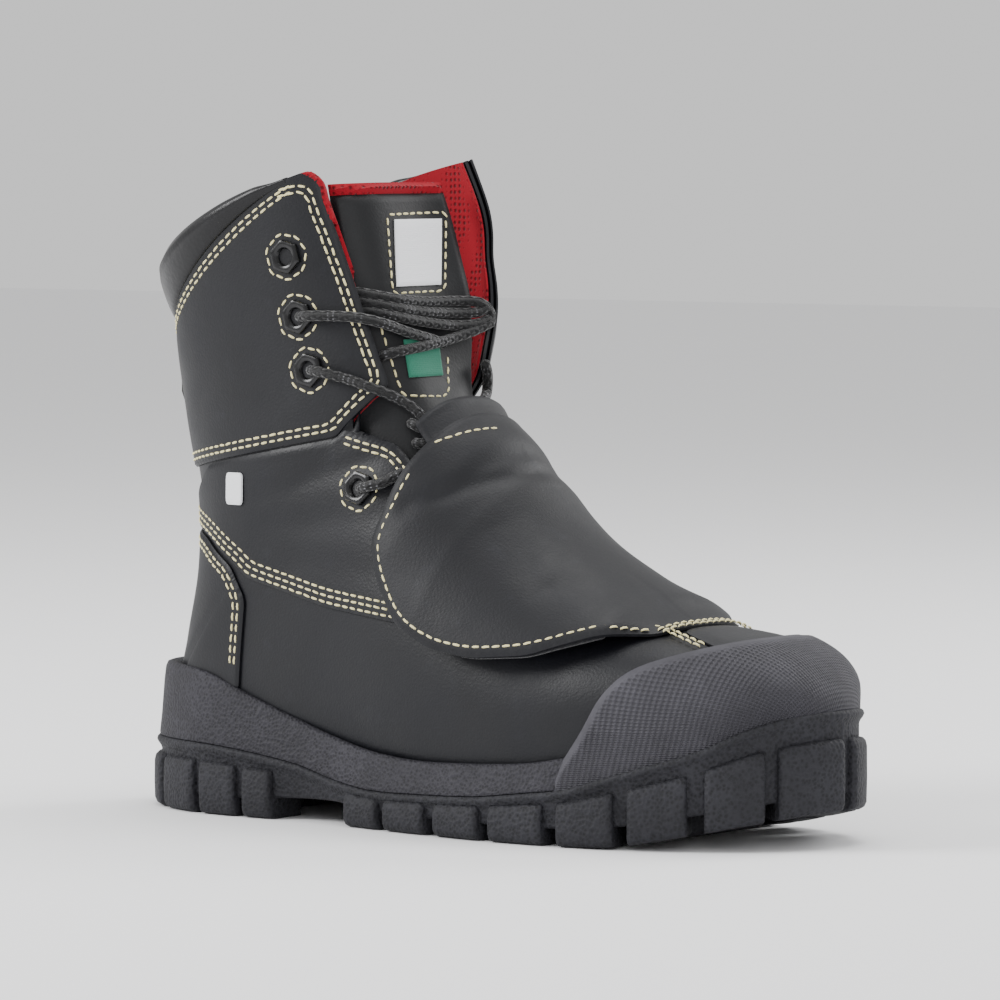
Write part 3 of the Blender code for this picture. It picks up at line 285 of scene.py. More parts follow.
def plan_curve(steps):
    """Closed cubic through PLAN, with each span's speed set by the root of its length, at the sole's size."""
    points = PLAN * [LENGTH, SOLE_WIDTH]
    span = np.linalg.norm(np.roll(points, -1, 0) - points, axis=1)[:, None] ** 0.5
    back = np.roll(span, 1, 0)
    behind, ahead = points - np.roll(points, 1, 0), np.roll(points, -1, 0) - points
    tangent = behind / back - (behind + ahead) / (back + span) + ahead / span
    following, next_tangent = np.roll(points, -1, 0), np.roll(tangent, -1, 0)
    t = np.linspace(0, 1, steps, endpoint=False)[None, :, None]
    ends = (points, following, tangent * span, next_tangent * span)
    curve = cubic(t, *(end[:, None] for end in ends)).reshape(-1, 2)
    low, high = curve.min(0), curve.max(0)
    return (curve - low) / (high - low) * [LENGTH, SOLE_WIDTH] - [LENGTH / 2, SOLE_WIDTH / 2]


PLAN_LINE = plan_curve(60)
ALONG = np.roll(PLAN_LINE, -1, 0) - np.roll(PLAN_LINE, 1, 0)
INWARD = np.stack([-ALONG[:, 1], ALONG[:, 0]], 1) / np.linalg.norm(ALONG, axis=1)[:, None]


def lengths(path):
    """Length of a polyline from its start to each of its points."""
    return np.r_[0, np.cumsum(np.linalg.norm(np.diff(path, axis=0), axis=1))]


def whole_length(path):
    """Length of a polyline."""
    return np.linalg.norm(np.diff(path, axis=0), axis=1).sum()


def at_lengths(path, length, at):
    """Rows of a polyline's table at given lengths along it."""
    return np.stack([np.interp(at, length, column) for column in path.T], 1)


def sole_line(count):
    """Evenly spaced points round the sole's outline, with the inward normal at each."""
    ring = np.hstack([PLAN_LINE, INWARD])
    closed = np.vstack([ring, ring[:1]])
    length = lengths(closed[:, :2])
    found = at_lengths(closed, length, np.linspace(0, length[-1], count, endpoint=False))
    return found[:, :2], found[:, 2:]


def side_edges(inset):
    """The outer and the inner half of the inset outline, each from heel to toe."""
    curve = PLAN_LINE + INWARD * inset
    heel, toe = curve[:, 0].argmin(), curve[:, 0].argmax()
    outer = np.take(curve, np.arange(heel, heel + (toe - heel) % len(curve) + 1), 0, mode="wrap")
    inner = np.take(curve, np.arange(toe, toe + (heel - toe) % len(curve) + 1), 0, mode="wrap")[::-1]
    return outer.T, inner.T


OUTER_EDGE, INNER_EDGE = side_edges(FEATHER_INSET)


def sole_height(column, x):
    """Height of one line of the sole's side at world x."""
    at = np.clip(np.asarray(x) / LENGTH + 0.5, 0, 1)
    number = np.interp(at, SOLE_SIDE[:, 0], np.arange(len(SOLE_SIDE)))
    rows = SOLE_SIDE[:, SOLE_COLUMNS.index(column)][:, None]
    return np.maximum(smooth_rows(rows, np.ravel(number))[:, 0].reshape(np.shape(x)), 0) * HEEL_STACK


def skin(u, v):
    """Points of the skin, with each point's share of the way down from the ridge and its section's ridge x.

    A section runs up from the sole or the back line. Below the belly each half is a quarter ellipse from
    the foot's width to the full width, and above it (across / width) ** square + height ** square = 1,
    stepped so that the points stay even. The inner half leans forward by the sine of twice its angle."""
    u, v = np.broadcast_arrays(u, v)
    shape = u.shape
    u, v = u.ravel(), v.ravel()
    row = dict(zip(SECTION_COLUMNS, smooth_rows(SECTIONS, u).T))
    inner = v > 0
    foot_x = np.clip(row["foot"], 0, 1) * FOOT_LENGTH + FEATHER_INSET - LENGTH / 2
    standing = u <= HEEL_CORNER
    crest_x, crest_z = row["crest_x"] * LENGTH - LENGTH / 2, row["crest_z"] * BOOT_HEIGHT
    back_z = sole_height("feather", foot_x) + np.where(standing, 0, row["rise"]) * BOOT_HEIGHT
    edge = np.where(inner, np.interp(foot_x, *INNER_EDGE), np.interp(foot_x, *OUTER_EDGE))
    middle_foot = (np.interp(foot_x, *OUTER_EDGE) + np.interp(foot_x, *INNER_EDGE)) / 2
    middle_crest = (np.interp(crest_x, *OUTER_EDGE) + np.interp(crest_x, *INNER_EDGE)) / 2
    foot_width = np.where(standing, abs(edge - middle_foot), 0)
    width = np.where(inner, row["inner"], row["outer"]) * BALL_WIDTH
    full = np.maximum(width, foot_width + WALL * np.clip(u, 0, 1))
    square = np.where(inner, row["inner_square"], row["square"])
    belly, splay = row["belly"], np.where(inner, row["splay"], 0)
    a = abs(v)
    low = np.clip((1 - a) / 0.5, 0, 1) * np.pi / 2
    t = np.clip((0.5 - a) / 0.5, 0, 1)
    rising, falling = t ** (square / 2), (1 - t) ** (square / 2)
    high = rising / (rising + falling) * np.pi / 2
    below = a >= 0.5
    share = np.where(below, belly * (1 - np.cos(low)), belly + (1 - belly) * np.sin(high) ** (2 / square))
    across = np.where(
        below, foot_width + (full - foot_width) * np.sin(low),
        full * np.maximum(np.cos(high), 0) ** (2 / square),
    )
    lean = np.where(below, 0, np.sin(2 * high))
    x = foot_x + share * (crest_x - foot_x) + splay * LENGTH * lean
    arched = COLLAR_ARCH * np.sin(np.pi * np.clip(share, 0, 1)) * ease((u - 17) / 3)
    z = back_z + share * (crest_z - back_z) + arched
    y = middle_foot * (1 - share) + middle_crest * share + np.where(inner, 1, -1) * across
    down = 1 - np.where(below, low / (np.pi / 2) / 3, (1 + 2 * high / (np.pi / 2)) / 3)
    return np.stack([x, y, z], 1).reshape(*shape, 3), down.reshape(shape), row["crest_x"].reshape(shape)


def folds(p):
    """Soft unevenness of worn-in leather, in metres off the skin: three slow waves, and creases that cross
    the front of the ankle, each a trough with the shape of a bell curve."""
    x, y, z = np.moveaxis(p, -1, 0) * 1000
    slow = (
        0.28 * np.sin(x / 21 + z / 34 + 1.3) + 0.22 * np.sin(z / 17 - x / 45 + y / 30)
        + 0.14 * np.sin(x / 9.5 + y / 13)
    )
    upper = ease((z - 60) / 40)
    bend = 0.0
    for height, slope, deep, wide in ANKLE_CREASES:
        line = z - height - slope * (x + 60)
        bend = bend - deep * np.exp(-((line / wide) ** 2)) * ease((x + 105) / 50) * ease((25 - x) / 40)
    return (slow * (0.35 + 0.65 * upper) + bend * 0.6) / 1000


def slopes(u, v, toe):
    """Difference of the skin's points over a small step to both sides, along u and across it."""
    along = skin(np.minimum(u + STEP, COLLAR), v)[0] - skin(np.maximum(u - STEP, toe), v)[0]
    across = skin(u, np.minimum(v + STEP, 1))[0] - skin(u, np.maximum(v - STEP, -1))[0]
    return along, across


def surface(u, v):
    """Points, unit outward normals, share down and ridge x of the skin, with its folds. The normal is the
    cross product of the two slopes."""
    p, down, crest = skin(u, v)
    along, across = slopes(u, v, TOE / 2)
    normal = np.cross(across, along)
    normal /= np.maximum(np.linalg.norm(normal, axis=-1, keepdims=True), 1e-12)
    return p + normal * folds(p)[..., None], normal, down, crest


def corners_cut(points, behind, ahead, radius, steps):
    """Corners replaced by parabolas that start radius before them, or less where a side is short. Behind and
    ahead are the ways from each corner to its neighbours."""
    long_behind, long_ahead = (np.linalg.norm(way, axis=1)[:, None] for way in (behind, ahead))
    first = points + behind / long_behind * np.minimum(radius, long_behind * SHORT_SIDE)
    last = points + ahead / long_ahead * np.minimum(radius, long_ahead * SHORT_SIDE)
    t = np.linspace(0, 1, steps)[None, :, None]
    curve = (1 - t) ** 2 * first[:, None] + 2 * t * (1 - t) * points[:, None] + t**2 * last[:, None]
    return curve.reshape(-1, points.shape[1])


def shares(points):
    """Side-view shares of LENGTH and BOOT_HEIGHT as world x and z."""
    return np.asarray(points, float) * [LENGTH, BOOT_HEIGHT] - [LENGTH / 2, 0]


def rounded(shape, radius=0.003):
    """A closed outline of side-view shares in metres, with its corners rounded."""
    points = shares(shape)
    return corners_cut(points, np.roll(points, 1, 0) - points, np.roll(points, -1, 0) - points, radius, 5)


def bent(corners, radius=0.004):
    """Open polyline with rounded corners, in its own units."""
    points = np.asarray(corners, float)
    middle = points[1:-1]
    curve = corners_cut(middle, points[:-2] - middle, points[2:] - middle, radius, 6)
    return np.vstack([points[:1], curve, points[-1:]])


def depth_in(outline, a, b):
    """Signed distance of points (a, b) into a closed outline, positive inside: the least distance to its
    edges, with the sign from how often a ray along a crosses it."""
    start, end = outline, np.roll(outline, -1, 0)
    run = end - start
    flat = np.stack([np.ravel(a), np.ravel(b)], 1)
    least, odd = np.full(len(flat), np.inf), np.zeros(len(flat), bool)
    for (x0, z0), (dx, dz) in zip(start, run):
        away = flat - (x0, z0)
        t = np.clip((away @ (dx, dz)) / max(dx * dx + dz * dz, 1e-18), 0, 1)
        least = np.minimum(least, (away[:, 0] - t * dx) ** 2 + (away[:, 1] - t * dz) ** 2)
        crosses = (z0 > flat[:, 1]) != (z0 + dz > flat[:, 1])
        at = x0 + (flat[:, 1] - z0) / (dz if abs(dz) > 1e-12 else 1e-12) * dx
        odd ^= crosses & (flat[:, 0] < at)
    return (np.sqrt(least) * np.where(odd, 1, -1)).reshape(np.shape(a))


def inside(shape, radius=0.003):
    """Region of the points that lie within an outline seen from the side. A region is a function of points:
    its depth, in metres, is positive inside."""
    outline = rounded(shape, radius)
    return lambda p: depth_in(outline, p[..., 0], p[..., 2])


def both(*regions):
    """Region that lies in all of these."""
    return lambda p: np.min([region(p) for region in regions], axis=0)


def beyond(side, distance):
    """Region further than a distance from the boot's middle on one side."""
    return lambda p: side * p[..., 1] - distance


def within(distance):
    """Region within a distance from the boot's middle."""
    return lambda p: distance - abs(p[..., 1])


def apart(region):
    """Region outside another."""
    return lambda p: -region(p)


def past_facing(p):
    """Distance outwards of the inner facing's edge, which comes nearer to the middle as it goes down."""
    return p[..., 1] - INNER_FACING + 0.007 * ease((0.215 - p[..., 2]) / 0.045)


def open_throat(p):
    """Region outside the throat, which the outer side follows by its outline, and the inner side by a
    straight facing that stands open."""
    outer, foot, inner = (inside(shape)(p) for shape in (THROAT, THROAT_FOOT, INNER_THROAT))
    return np.where(p[..., 1] < 0, -outer, np.minimum(-foot, np.maximum(-inner, past_facing(p))))


# Meshes


def new_object(name, points, faces, material, sharp=45):
    """Object at the origin from arrays of points and quads, with edges sharp from an angle in degrees."""
    mesh = bpy.data.meshes.new(name)
    faces = np.asarray(faces, np.int32)
    points = np.asarray(points, np.float32).reshape(-1, 3)
    mesh.vertices.add(len(points))
    mesh.vertices.foreach_set("co", points.ravel())
    mesh.loops.add(faces.size)
    mesh.loops.foreach_set("vertex_index", faces.ravel())
    mesh.polygons.add(len(faces))
    mesh.polygons.foreach_set("loop_start", np.arange(0, faces.size, faces.shape[1], dtype=np.int32))
    mesh.update(calc_edges=True)
    mesh.validate()
    mesh.shade_smooth()
    mesh.set_sharp_from_angle(angle=np.radians(sharp))
    mesh.materials.append(material)
    made = bpy.data.objects.new(name, mesh)
    bpy.context.scene.collection.objects.link(made)
    return made


def settle(made, slot, *nodes):
    """Rides the piece on the boot's body and has it stand for its CAD nodes, which it hides. Its slot is not
    used.
    """
    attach(made, "root")
    if nodes:
        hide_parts(*nodes)
    return made


def attribute(made, name, values):
    """Adds a value for each vertex under a name that a material can read."""
    layer = made.data.attributes.new(name, "FLOAT", "POINT")
    layer.data.foreach_set("value", np.asarray(values, np.float32).ravel())


def set_uv(made, per_point):
    """UV map from one pair of values for each vertex."""
    layer = made.data.uv_layers.new(name="UVMap")
    index = np.empty(len(made.data.loops), np.int32)
    made.data.loops.foreach_get("vertex_index", index)
    layer.data.foreach_set("uv", np.asarray(per_point, np.float32)[index].ravel())


def grid_faces(rows, columns, close_rows=False, close_columns=False):
    """Quads between neighbouring points of a grid."""
    i = np.arange(rows if close_rows else rows - 1)
    j = np.arange(columns if close_columns else columns - 1)
    i, j = np.meshgrid(i, j, indexing="ij")
    below, right = (i + 1) % rows, (j + 1) % columns
    corners = ((i, j), (i, right), (below, right), (below, j))
    return np.stack([row * columns + column for row, column in corners], -1).reshape(-1, 4)


def to_edge(region, u, v, pitch):
    """Moves points of the skin that lie outside a region onto its edge: seven Newton steps on the region's
    depth, with slopes measured along the surface."""
    small = 1e-5
    for _ in range(7):
        p = skin(u, v)[0]
        along, across = (slope / (2 * STEP) for slope in slopes(u, v, TOE))
        size_u, size_v = (np.maximum(np.linalg.norm(s, axis=-1), 1e-4) for s in (along, across))
        depth = region(p)
        slope_u = (region(p + along / size_u[:, None] * small) - depth) / small
        slope_v = (region(p + across / size_v[:, None] * small) - depth) / small
        steep = np.maximum(slope_u**2 + slope_v**2, 0.05)
        move = np.clip(-depth / steep, -2 * pitch, 2 * pitch)
        u = np.clip(u + move * slope_u / size_u, TOE, COLLAR)
        moved = v + move * slope_v / size_v
        v = np.where(v < 0, np.clip(moved, -1, 0), np.clip(moved, 0, 1))
    return u, v


def sheet(name, region, u_span, v_span, low, high, look, pitch=0.0012, soft=0.0011, sharp=50, uv=False):
    """Closed sheet of leather or cloth on the skin between two lifts, cut to a region.

    A grid of u and v is kept where a cell has a corner in the region, and its corners outside are moved onto
    the region's edge. The outside rounds off to the edge over the width soft. v_span may run across the
    back, as (0.4, -0.4), where v = 1 meets v = -1: above the heel's corner the two columns that meet are one.
    Lifts are numbers or functions of points, share down and ridge."""
    across_back = v_span[0] > v_span[1]
    middle_v = 1.0 if across_back else np.mean(v_span)
    run = whole_length(skin(np.linspace(*u_span, PROBES), np.full(PROBES, middle_v))[0])
    columns = []
    for first, last in ((v_span[0], 1.0), (-1.0, v_span[1])) if across_back else (v_span,):
        probe = skin(np.full(PROBES, np.mean(u_span)), np.linspace(first, last, PROBES))[0]
        columns.append(np.linspace(first, last, int(whole_length(probe) / pitch) + 2))
    rows = np.linspace(*u_span, int(run / pitch) + 2)
    u, v = np.meshgrid(rows, np.concatenate(columns), indexing="ij")
    index = np.arange(u.size).reshape(u.shape)
    depth = region(skin(u, v)[0])
    kept, twin = (len(columns[0]) - 1, len(columns[0])) if across_back else (0, -1)
    if across_back or v_span == (-1.0, 1.0):
        closed_back = rows >= HEEL_CORNER
        for values in (index, depth):
            values[closed_back, twin] = values[closed_back, kept]
    inner = depth > 0
    cell = inner[:-1, :-1] | inner[1:, :-1] | inner[:-1, 1:] | inner[1:, 1:]
    if across_back:
        cell[:, kept] = False
    quads = np.stack([index[:-1, :-1], index[:-1, 1:], index[1:, 1:], index[1:, :-1]], -1)[cell]
    used = np.unique(quads)
    quads = np.searchsorted(used, quads)
    u, v, depth = (values.ravel()[used] for values in (u, v, depth))
    outside = depth <= 0
    u[outside], v[outside] = to_edge(region, u[outside], v[outside], pitch)
    depth = np.maximum(depth, 0)
    p, normal, down, crest = surface(u, v)
    low, high = (lift_at(lift, p, down, crest) for lift in (low, high))
    drop = (1 - ease(depth / soft)) * EDGE_DROP * (high - low)
    edges = np.concatenate([quads[:, [i, (i + 1) % 4]] for i in range(4)])
    _, first, times = np.unique(np.sort(edges, axis=1), axis=0, return_index=True, return_counts=True)
    rim = edges[first[times == 1]]
    rim = rim[rim[:, 0] != rim[:, 1]]
    points = np.vstack([p + normal * (high - drop)[:, None], p + normal * (low + EDGE_RISE * drop)[:, None]])
    count = len(p)
    walls = np.stack([rim[:, 1], rim[:, 0], rim[:, 0] + count, rim[:, 1] + count], 1)
    made = new_object(name, points, np.vstack([quads, quads[:, ::-1] + count, walls]), finish(look), sharp)
    attribute(made, "edge", np.r_[depth, depth])
    if uv:
        flat = np.stack([v * 0.15, u * run / (u_span[1] - u_span[0])], 1)
        set_uv(made, np.vstack([flat, flat]))
    return made


def view_axes():
    """Directions to the right, up and towards the camera in the photograph's view."""
    azimuth, elevation = np.radians(VIEW_AZIMUTH), np.radians(VIEW_ELEVATION)
    right = np.array([np.cos(azimuth), np.sin(azimuth), 0])
    back = np.array([
        np.sin(azimuth) * np.cos(elevation), -np.cos(azimuth) * np.cos(elevation), np.sin(elevation)
    ])
    return right, np.cross(back, right), back


def in_picture(p):
    """Where points are seen from the photograph's place, in metres across and up at the target's distance,
    and how much nearer than the target they are."""
    right, up, back = view_axes()
    p = p - VIEW_TARGET
    near = p @ back
    scale = VIEW_DISTANCE / (VIEW_DISTANCE - near)
    return np.stack([p @ right * scale, p @ up * scale], -1), near


def picture(*places):
    """Places in thousandths of the picture, from its top left, as metres at the target's distance."""
    return (np.array(places, float) - PICTURE_MIDDLE) * (1, -1) / PICTURE_SCALE


def seat(targets, view, side=-1):
    """u and v of the skin where it is seen at given places: from the side (x, z), from above (x, y)
    or in the picture. A coarse net gives the nearest place, for the picture with the nearer of
    two places first, and ten damped Newton steps finish it."""
    axes, span = SEAT_VIEWS[view]

    def seen(u, v):
        p = skin(u, v)[0]
        return p[:, axes] if axes else in_picture(p)[0]

    targets = np.asarray(targets, float)
    u, v = np.meshgrid(np.arange(0.4, COLLAR + 0.01, 0.1), np.linspace(*span, PROBES), indexing="ij")
    u, v = u.ravel(), v.ravel()
    if view == "side":
        v = v * side
    net = seen(u, v)
    hidden = -4e-5 * in_picture(skin(u, v)[0])[1] if view == "picture" else 0.0
    nearest = np.array([(((net - target) ** 2).sum(1) + hidden).argmin() for target in targets])
    u, v = u[nearest], v[nearest]
    damp = 1e-9
    for _ in range(10):
        here = seen(u, v)
        du = (seen(np.minimum(u + STEP, COLLAR), v) - here) / STEP
        dv = (seen(u, v - np.sign(v) * STEP) - here) / (-np.sign(v) * STEP)[:, None]
        du = np.where((u + STEP > COLLAR)[:, None], 0.0, du)
        miss = targets - here
        a, b, c = (du * du).sum(1) + damp, (du * dv).sum(1), (dv * dv).sum(1) + damp * 100
        right_u, right_v = (du * miss).sum(1), (dv * miss).sum(1)
        size = np.maximum(a * c - b * b, 1e-18)
        u = np.clip(u + np.clip((c * right_u - b * right_v) / size, -0.5, 0.5), TOE, COLLAR)
        v = np.clip(v + np.clip((a * right_v - b * right_u) / size, -0.05, 0.05), -1, 1)
    return u, v


def even(path, pitch):
    """Points about a pitch apart along a polyline, from half a step after its start."""
    path = np.asarray(path, float)
    length = lengths(path[:, :3])
    count = max(int(round(length[-1] / pitch)), 1)
    return at_lengths(path, length, (np.arange(count) + 0.5) / count * length[-1])


def lift_at(lift, p, down, crest):
    """Lift of points: a number for all of them, or a function of them."""
    return lift(p, down, crest) if callable(lift) else np.full(len(p), lift)


def seam_on(u, v, lift, offset=0.0):
    """Points and normals of a line on the skin at a lift, moved sideways by offset, to the left of its run
    as seen from outside."""
    p, normal, down, crest = surface(u, v)
    run = np.gradient(p, axis=0)
    run /= np.maximum(np.linalg.norm(run, axis=1)[:, None], 1e-9)
    left = np.cross(normal, run)
    return np.hstack([p + left * offset + normal * lift_at(lift, p, down, crest)[:, None], normal])
def stitch_mesh(name, lines, material, pitch, length, thick):
    """Stitches along lines of points and normals: each is a bar with five rings of six points, whose radius
    falls to nothing at its two ends while they dip into the leather."""
    spans = [even(line, pitch) for line in lines]
    centre = np.vstack(spans)
    run = np.vstack([
        np.gradient(span[:, :3], axis=0) if len(span) > 1 else np.ones((1, 3)) for span in spans
    ])
    normal = centre[:, 3:] / np.linalg.norm(centre[:, 3:], axis=1)[:, None]
    run -= normal * (run * normal).sum(1)[:, None]
    run /= np.linalg.norm(run, axis=1)[:, None]
    side = np.cross(normal, run)
    turn = CHANCE.normal(0, 0.05, len(centre))[:, None]
    run, side = run + side * turn, side - run * turn
    along = np.array([-0.5, -0.40, 0.0, 0.40, 0.5])
    wide = np.array([0.25, 0.85, 1.0, 0.85, 0.25])[:, None]
    dip = np.array([-0.75, -0.25, 0.0, -0.25, -0.75])[:, None]
    angle = np.arange(6) / 6 * 2 * np.pi
    long = length * CHANCE.uniform(0.92, 1.05, len(centre))
    ahead = along[None, :, None] * long[:, None, None]
    across = wide * np.cos(angle) * thick / 2
    above = wide * np.sin(angle) * thick * 0.42 + dip * thick
    points = (
        centre[:, None, None, :3] + run[:, None, None] * ahead[..., None]
        + side[:, None, None] * across[None, :, :, None] + normal[:, None, None] * above[None, :, :, None]
    )
    caps = np.array([[0, 3, 2, 1], [0, 5, 4, 3], [24, 25, 26, 27], [24, 27, 28, 29]])
    one = np.vstack([grid_faces(5, 6, close_columns=True), caps])[:, ::-1]
    faces = (one[None] + np.arange(len(centre))[:, None, None] * 30).reshape(-1, 4)
    return new_object(name, points, faces, material, sharp=80)


def end_caps(sides):
    """Quads that fill a ring of points with strips."""
    return np.array([[i, sides - 1 - i, sides - 2 - i, i + 1] for i in range(sides // 2 - 1)])


def tube(path, radius, sides=12):
    """Points and faces of a round cord along a path, closed at both ends, with UV along and round it. The
    ring at each point stands square to the path, turned as little as can be from the ring before it."""
    path = np.asarray(path, float)
    run = np.gradient(path, axis=0)
    run /= np.linalg.norm(run, axis=1)[:, None]
    side = np.cross(run[0], [0.0, 0.3, 1.0])
    frames = []
    for t in run:
        side = side - t * (side @ t)
        side = side / np.linalg.norm(side)
        frames.append(side)
    side = np.array(frames)
    third = np.cross(run, side)
    angle = np.arange(sides) / sides * 2 * np.pi
    radii = np.full(len(path), radius)
    radii[[0, -1]] = radius * 0.35
    ring = side[:, None] * np.cos(angle)[None, :, None] + third[:, None] * np.sin(angle)[None, :, None]
    points = path[:, None] + ring * radii[:, None, None]
    around, along = np.broadcast_arrays(np.linspace(0, 1, sides)[None], lengths(path)[:, None])
    uv = np.stack([around, along], -1).reshape(-1, 2)
    ends = end_caps(sides)
    body = grid_faces(len(path), sides, close_columns=True)
    return points.reshape(-1, 3), np.vstack([body, ends, ends[:, ::-1] + (len(path) - 1) * sides]), uv


def smooth_path(points, step=0.0012):
    """Curve through a few points by smooth_rows, evened out to a step."""
    points = np.asarray(points, float)
    fine = smooth_rows(points, np.linspace(0, len(points) - 1, 40 * len(points)))
    length = lengths(fine)
    return at_lengths(fine, length, np.linspace(0, length[-1], max(int(length[-1] / step), 4)))


# Finishes


def linear(code):
    """Linear red, green and blue of an sRGB hex value."""
    value = np.array([int(code[i:i + 2], 16) for i in (1, 3, 5)]) / 255
    return tuple(np.where(value <= 0.04045, value / 12.92, ((value + 0.055) / 1.055) ** 2.4).tolist())


def node(tree, kind, links=(), **settings):
    """Adds a shader node, sets its properties and sockets by name, and links its sockets to others."""
    made = tree.nodes.new("ShaderNode" + kind)
    for key, value in settings.items():
        if hasattr(made, key):
            setattr(made, key, value)
        else:
            made.inputs[key.replace("_", " ")].default_value = value
    for socket, source in dict(links).items():
        tree.links.new(source, made.inputs[socket])
    return made


def blank(name, colour, roughness, **sockets):
    """Material with a Principled shader, and the tools to fill it: tree, shader, Object coordinates."""
    made = bpy.data.materials.new(name)
    made.use_nodes = True
    tree = made.node_tree
    shader = tree.nodes["Principled BSDF"]
    shader.inputs["Base Color"].default_value = (*colour, 1)
    shader.inputs["Roughness"].default_value = roughness
    for key, value in sockets.items():
        shader.inputs[key.replace("_", " ")].default_value = value
    made.diffuse_color = (*colour, 1)
    place = node(tree, "TexCoord").outputs["Object"]
    return made, tree, shader, place


def ramp(tree, source, low, high, out_low=0.0, out_high=1.0):
    """Source stretched from low..high to out_low..out_high, without going past them."""
    span = {"From_Min": low, "From_Max": high, "To_Min": out_low, "To_Max": out_high}
    return node(tree, "MapRange", {"Value": source}, **span).outputs[0]


def joined(tree, operation, *values):
    """Result of a Math node, whose values are sockets or numbers."""
    links = {i: value for i, value in enumerate(values) if not isinstance(value, float)}
    made = node(tree, "Math", links, operation=operation)
    for i, value in enumerate(values):
        if isinstance(value, float):
            made.inputs[i].default_value = value
    return made.outputs[0]


def noise(tree, place, scale, detail=2.0, roughness=0.5):
    """Cloudy noise from 0 to 1 with a number of waves to the metre."""
    settings = {"Scale": scale, "Detail": detail, "Roughness": roughness}
    return node(tree, "TexNoise", {"Vector": place}, **settings).outputs["Fac"]


def cells_of(tree, place, scale, **settings):
    """Distance to the middle of the nearest cell."""
    return node(tree, "TexVoronoi", {"Vector": place}, Scale=scale, **settings).outputs["Distance"]


def tone(colour, factor, more=0.0):
    """A colour made paler or deeper."""
    return tuple(min(c * factor + more, 1) for c in colour)


def mixed(tree, share, first, second):
    """Colour between two, by share. A colour is a socket or three numbers."""
    made = node(tree, "Mix", {0: share}, data_type="RGBA")
    for socket, colour in ((6, first), (7, second)):
        if isinstance(colour, tuple):
            made.inputs[socket].default_value = (*colour, 1)
        else:
            tree.links.new(colour, made.inputs[socket])
    return made.outputs[2]


def relief(tree, shader, heights):
    """Chain of bumps, each a height socket with its real depth in metres and a strength."""
    normal = None
    for height, depth, strength in heights:
        links = {"Height": height}
        if normal:
            links["Normal"] = normal
        normal = node(tree, "Bump", links, Distance=depth, Strength=strength).outputs["Normal"]
    tree.links.new(normal, shader.inputs["Normal"])


def leather(name, colour, roughness, grain=0.9, scuffed=1.0):
    """Oiled full-grain leather, tanned and drummed: close pebble grain about a millimetre across, a soft
    greasy sheen that changes from patch to patch, and pale scuffs where it has been rubbed."""
    made, tree, shader, place = blank(name, colour, roughness, IOR=1.48, Specular_IOR_Level=0.36)
    cells = cells_of(tree, place, 1000 / grain, feature="SMOOTH_F1")
    pores = noise(tree, place, 2100.0)
    patches = noise(tree, place, 34.0, 5.0, 0.62)
    rubbed = noise(tree, place, 95.0, 6.0, 0.7)
    waves = noise(tree, place, 60.0, 3.0)
    base = mixed(tree, ramp(tree, patches, 0.35, 0.65), tone(colour, 0.72), colour)
    scuffs = ramp(tree, rubbed, 0.58, 0.80, 0.0, 0.55 * scuffed)
    base = mixed(tree, scuffs, base, tone(colour, 2.1, 0.004))
    tree.links.new(base, shader.inputs["Base Color"])
    rough = ramp(tree, patches, 0.3, 0.7, roughness - 0.05, roughness + 0.08)
    tree.links.new(rough, shader.inputs["Roughness"])
    relief(tree, shader, ((waves, 0.0012, 0.16), (cells, 0.00022, 0.32), (pores, 0.00012, 0.28)))
    return made


def knurl(tree, pitch):
    """Product of two sines of the UV turned by 45 degrees, which gives rows of dimples on the diagonal. It
    fades out towards the piece's edge, which is left plain."""
    uv = node(tree, "UVMap").outputs["UV"]
    scaled = node(tree, "Mapping", {"Vector": uv}, Scale=(1 / pitch,) * 3).outputs[0]
    turned = node(tree, "Mapping", {"Vector": scaled}, Rotation=(0, 0, np.pi / 4)).outputs[0]
    parts = node(tree, "SeparateXYZ", {0: turned}).outputs
    waves = [joined(tree, "SINE", joined(tree, "MULTIPLY", parts[i], 2 * np.pi)) for i in (0, 1)]
    away = ramp(tree, node(tree, "Attribute", attribute_name="edge").outputs["Fac"], 0.0022, 0.0036)
    return joined(tree, "MULTIPLY", joined(tree, "MULTIPLY", *waves), away)


def rubber(name, colour, roughness, pitch, deep, uv_pitch=None):
    """Moulded rubber or polyurethane from a textured steel mould: dull, with a stipple of small dimples,
    paler patches of dust, and painted shade in the dimples' hollows, which leaves their rims paler."""
    made, tree, shader, place = blank(name, colour, roughness, IOR=1.5, Specular_IOR_Level=0.34)
    # shade is 0 in the hollows of the dimples and 1 on the proud parts, and sets the painted shade below
    if uv_pitch:
        cells = knurl(tree, uv_pitch)
        shade = ramp(tree, cells, -0.6, 0.2, 0.35, 1.0)
    else:
        cells = cells_of(tree, place, 1000 / pitch)
        shade = ramp(tree, cells, 0.15, 0.6)
    dust = noise(tree, place, 40.0, 6.0, 0.7)
    grit = noise(tree, place, 900.0, 3.0)
    base = mixed(tree, ramp(tree, dust, 0.35, 0.72), colour, tone(colour, 1.7, 0.004))
    # painted shade: the colour falls to 0.55 of itself in the hollows of the dimples
    tree.links.new(mixed(tree, shade, tone(colour, 0.55), base), shader.inputs["Base Color"])
    relief(tree, shader, ((cells, deep, 0.9), (grit, 0.0002, 0.25)))
    return made


def knit(name, colour):
    """Warp-knitted polyester spacer mesh: rows of small holes about 2 mm apart in a bright, slightly fuzzy
    cloth, so it reads as dots of shade in a saturated red."""
    sheen = {"Specular_IOR_Level": 0.25, "Sheen_Weight": 0.08, "Sheen_Roughness": 0.4}
    made, tree, shader, place = blank(name, colour, 0.85, IOR=1.46, **sheen)
    holes = ramp(tree, cells_of(tree, place, 430.0, Randomness=0.2), 0.12, 0.40)
    tree.links.new(mixed(tree, holes, tone(colour, 0.30), colour), shader.inputs["Base Color"])
    relief(tree, shader, ((holes, 0.0006, 0.8),))
    return made


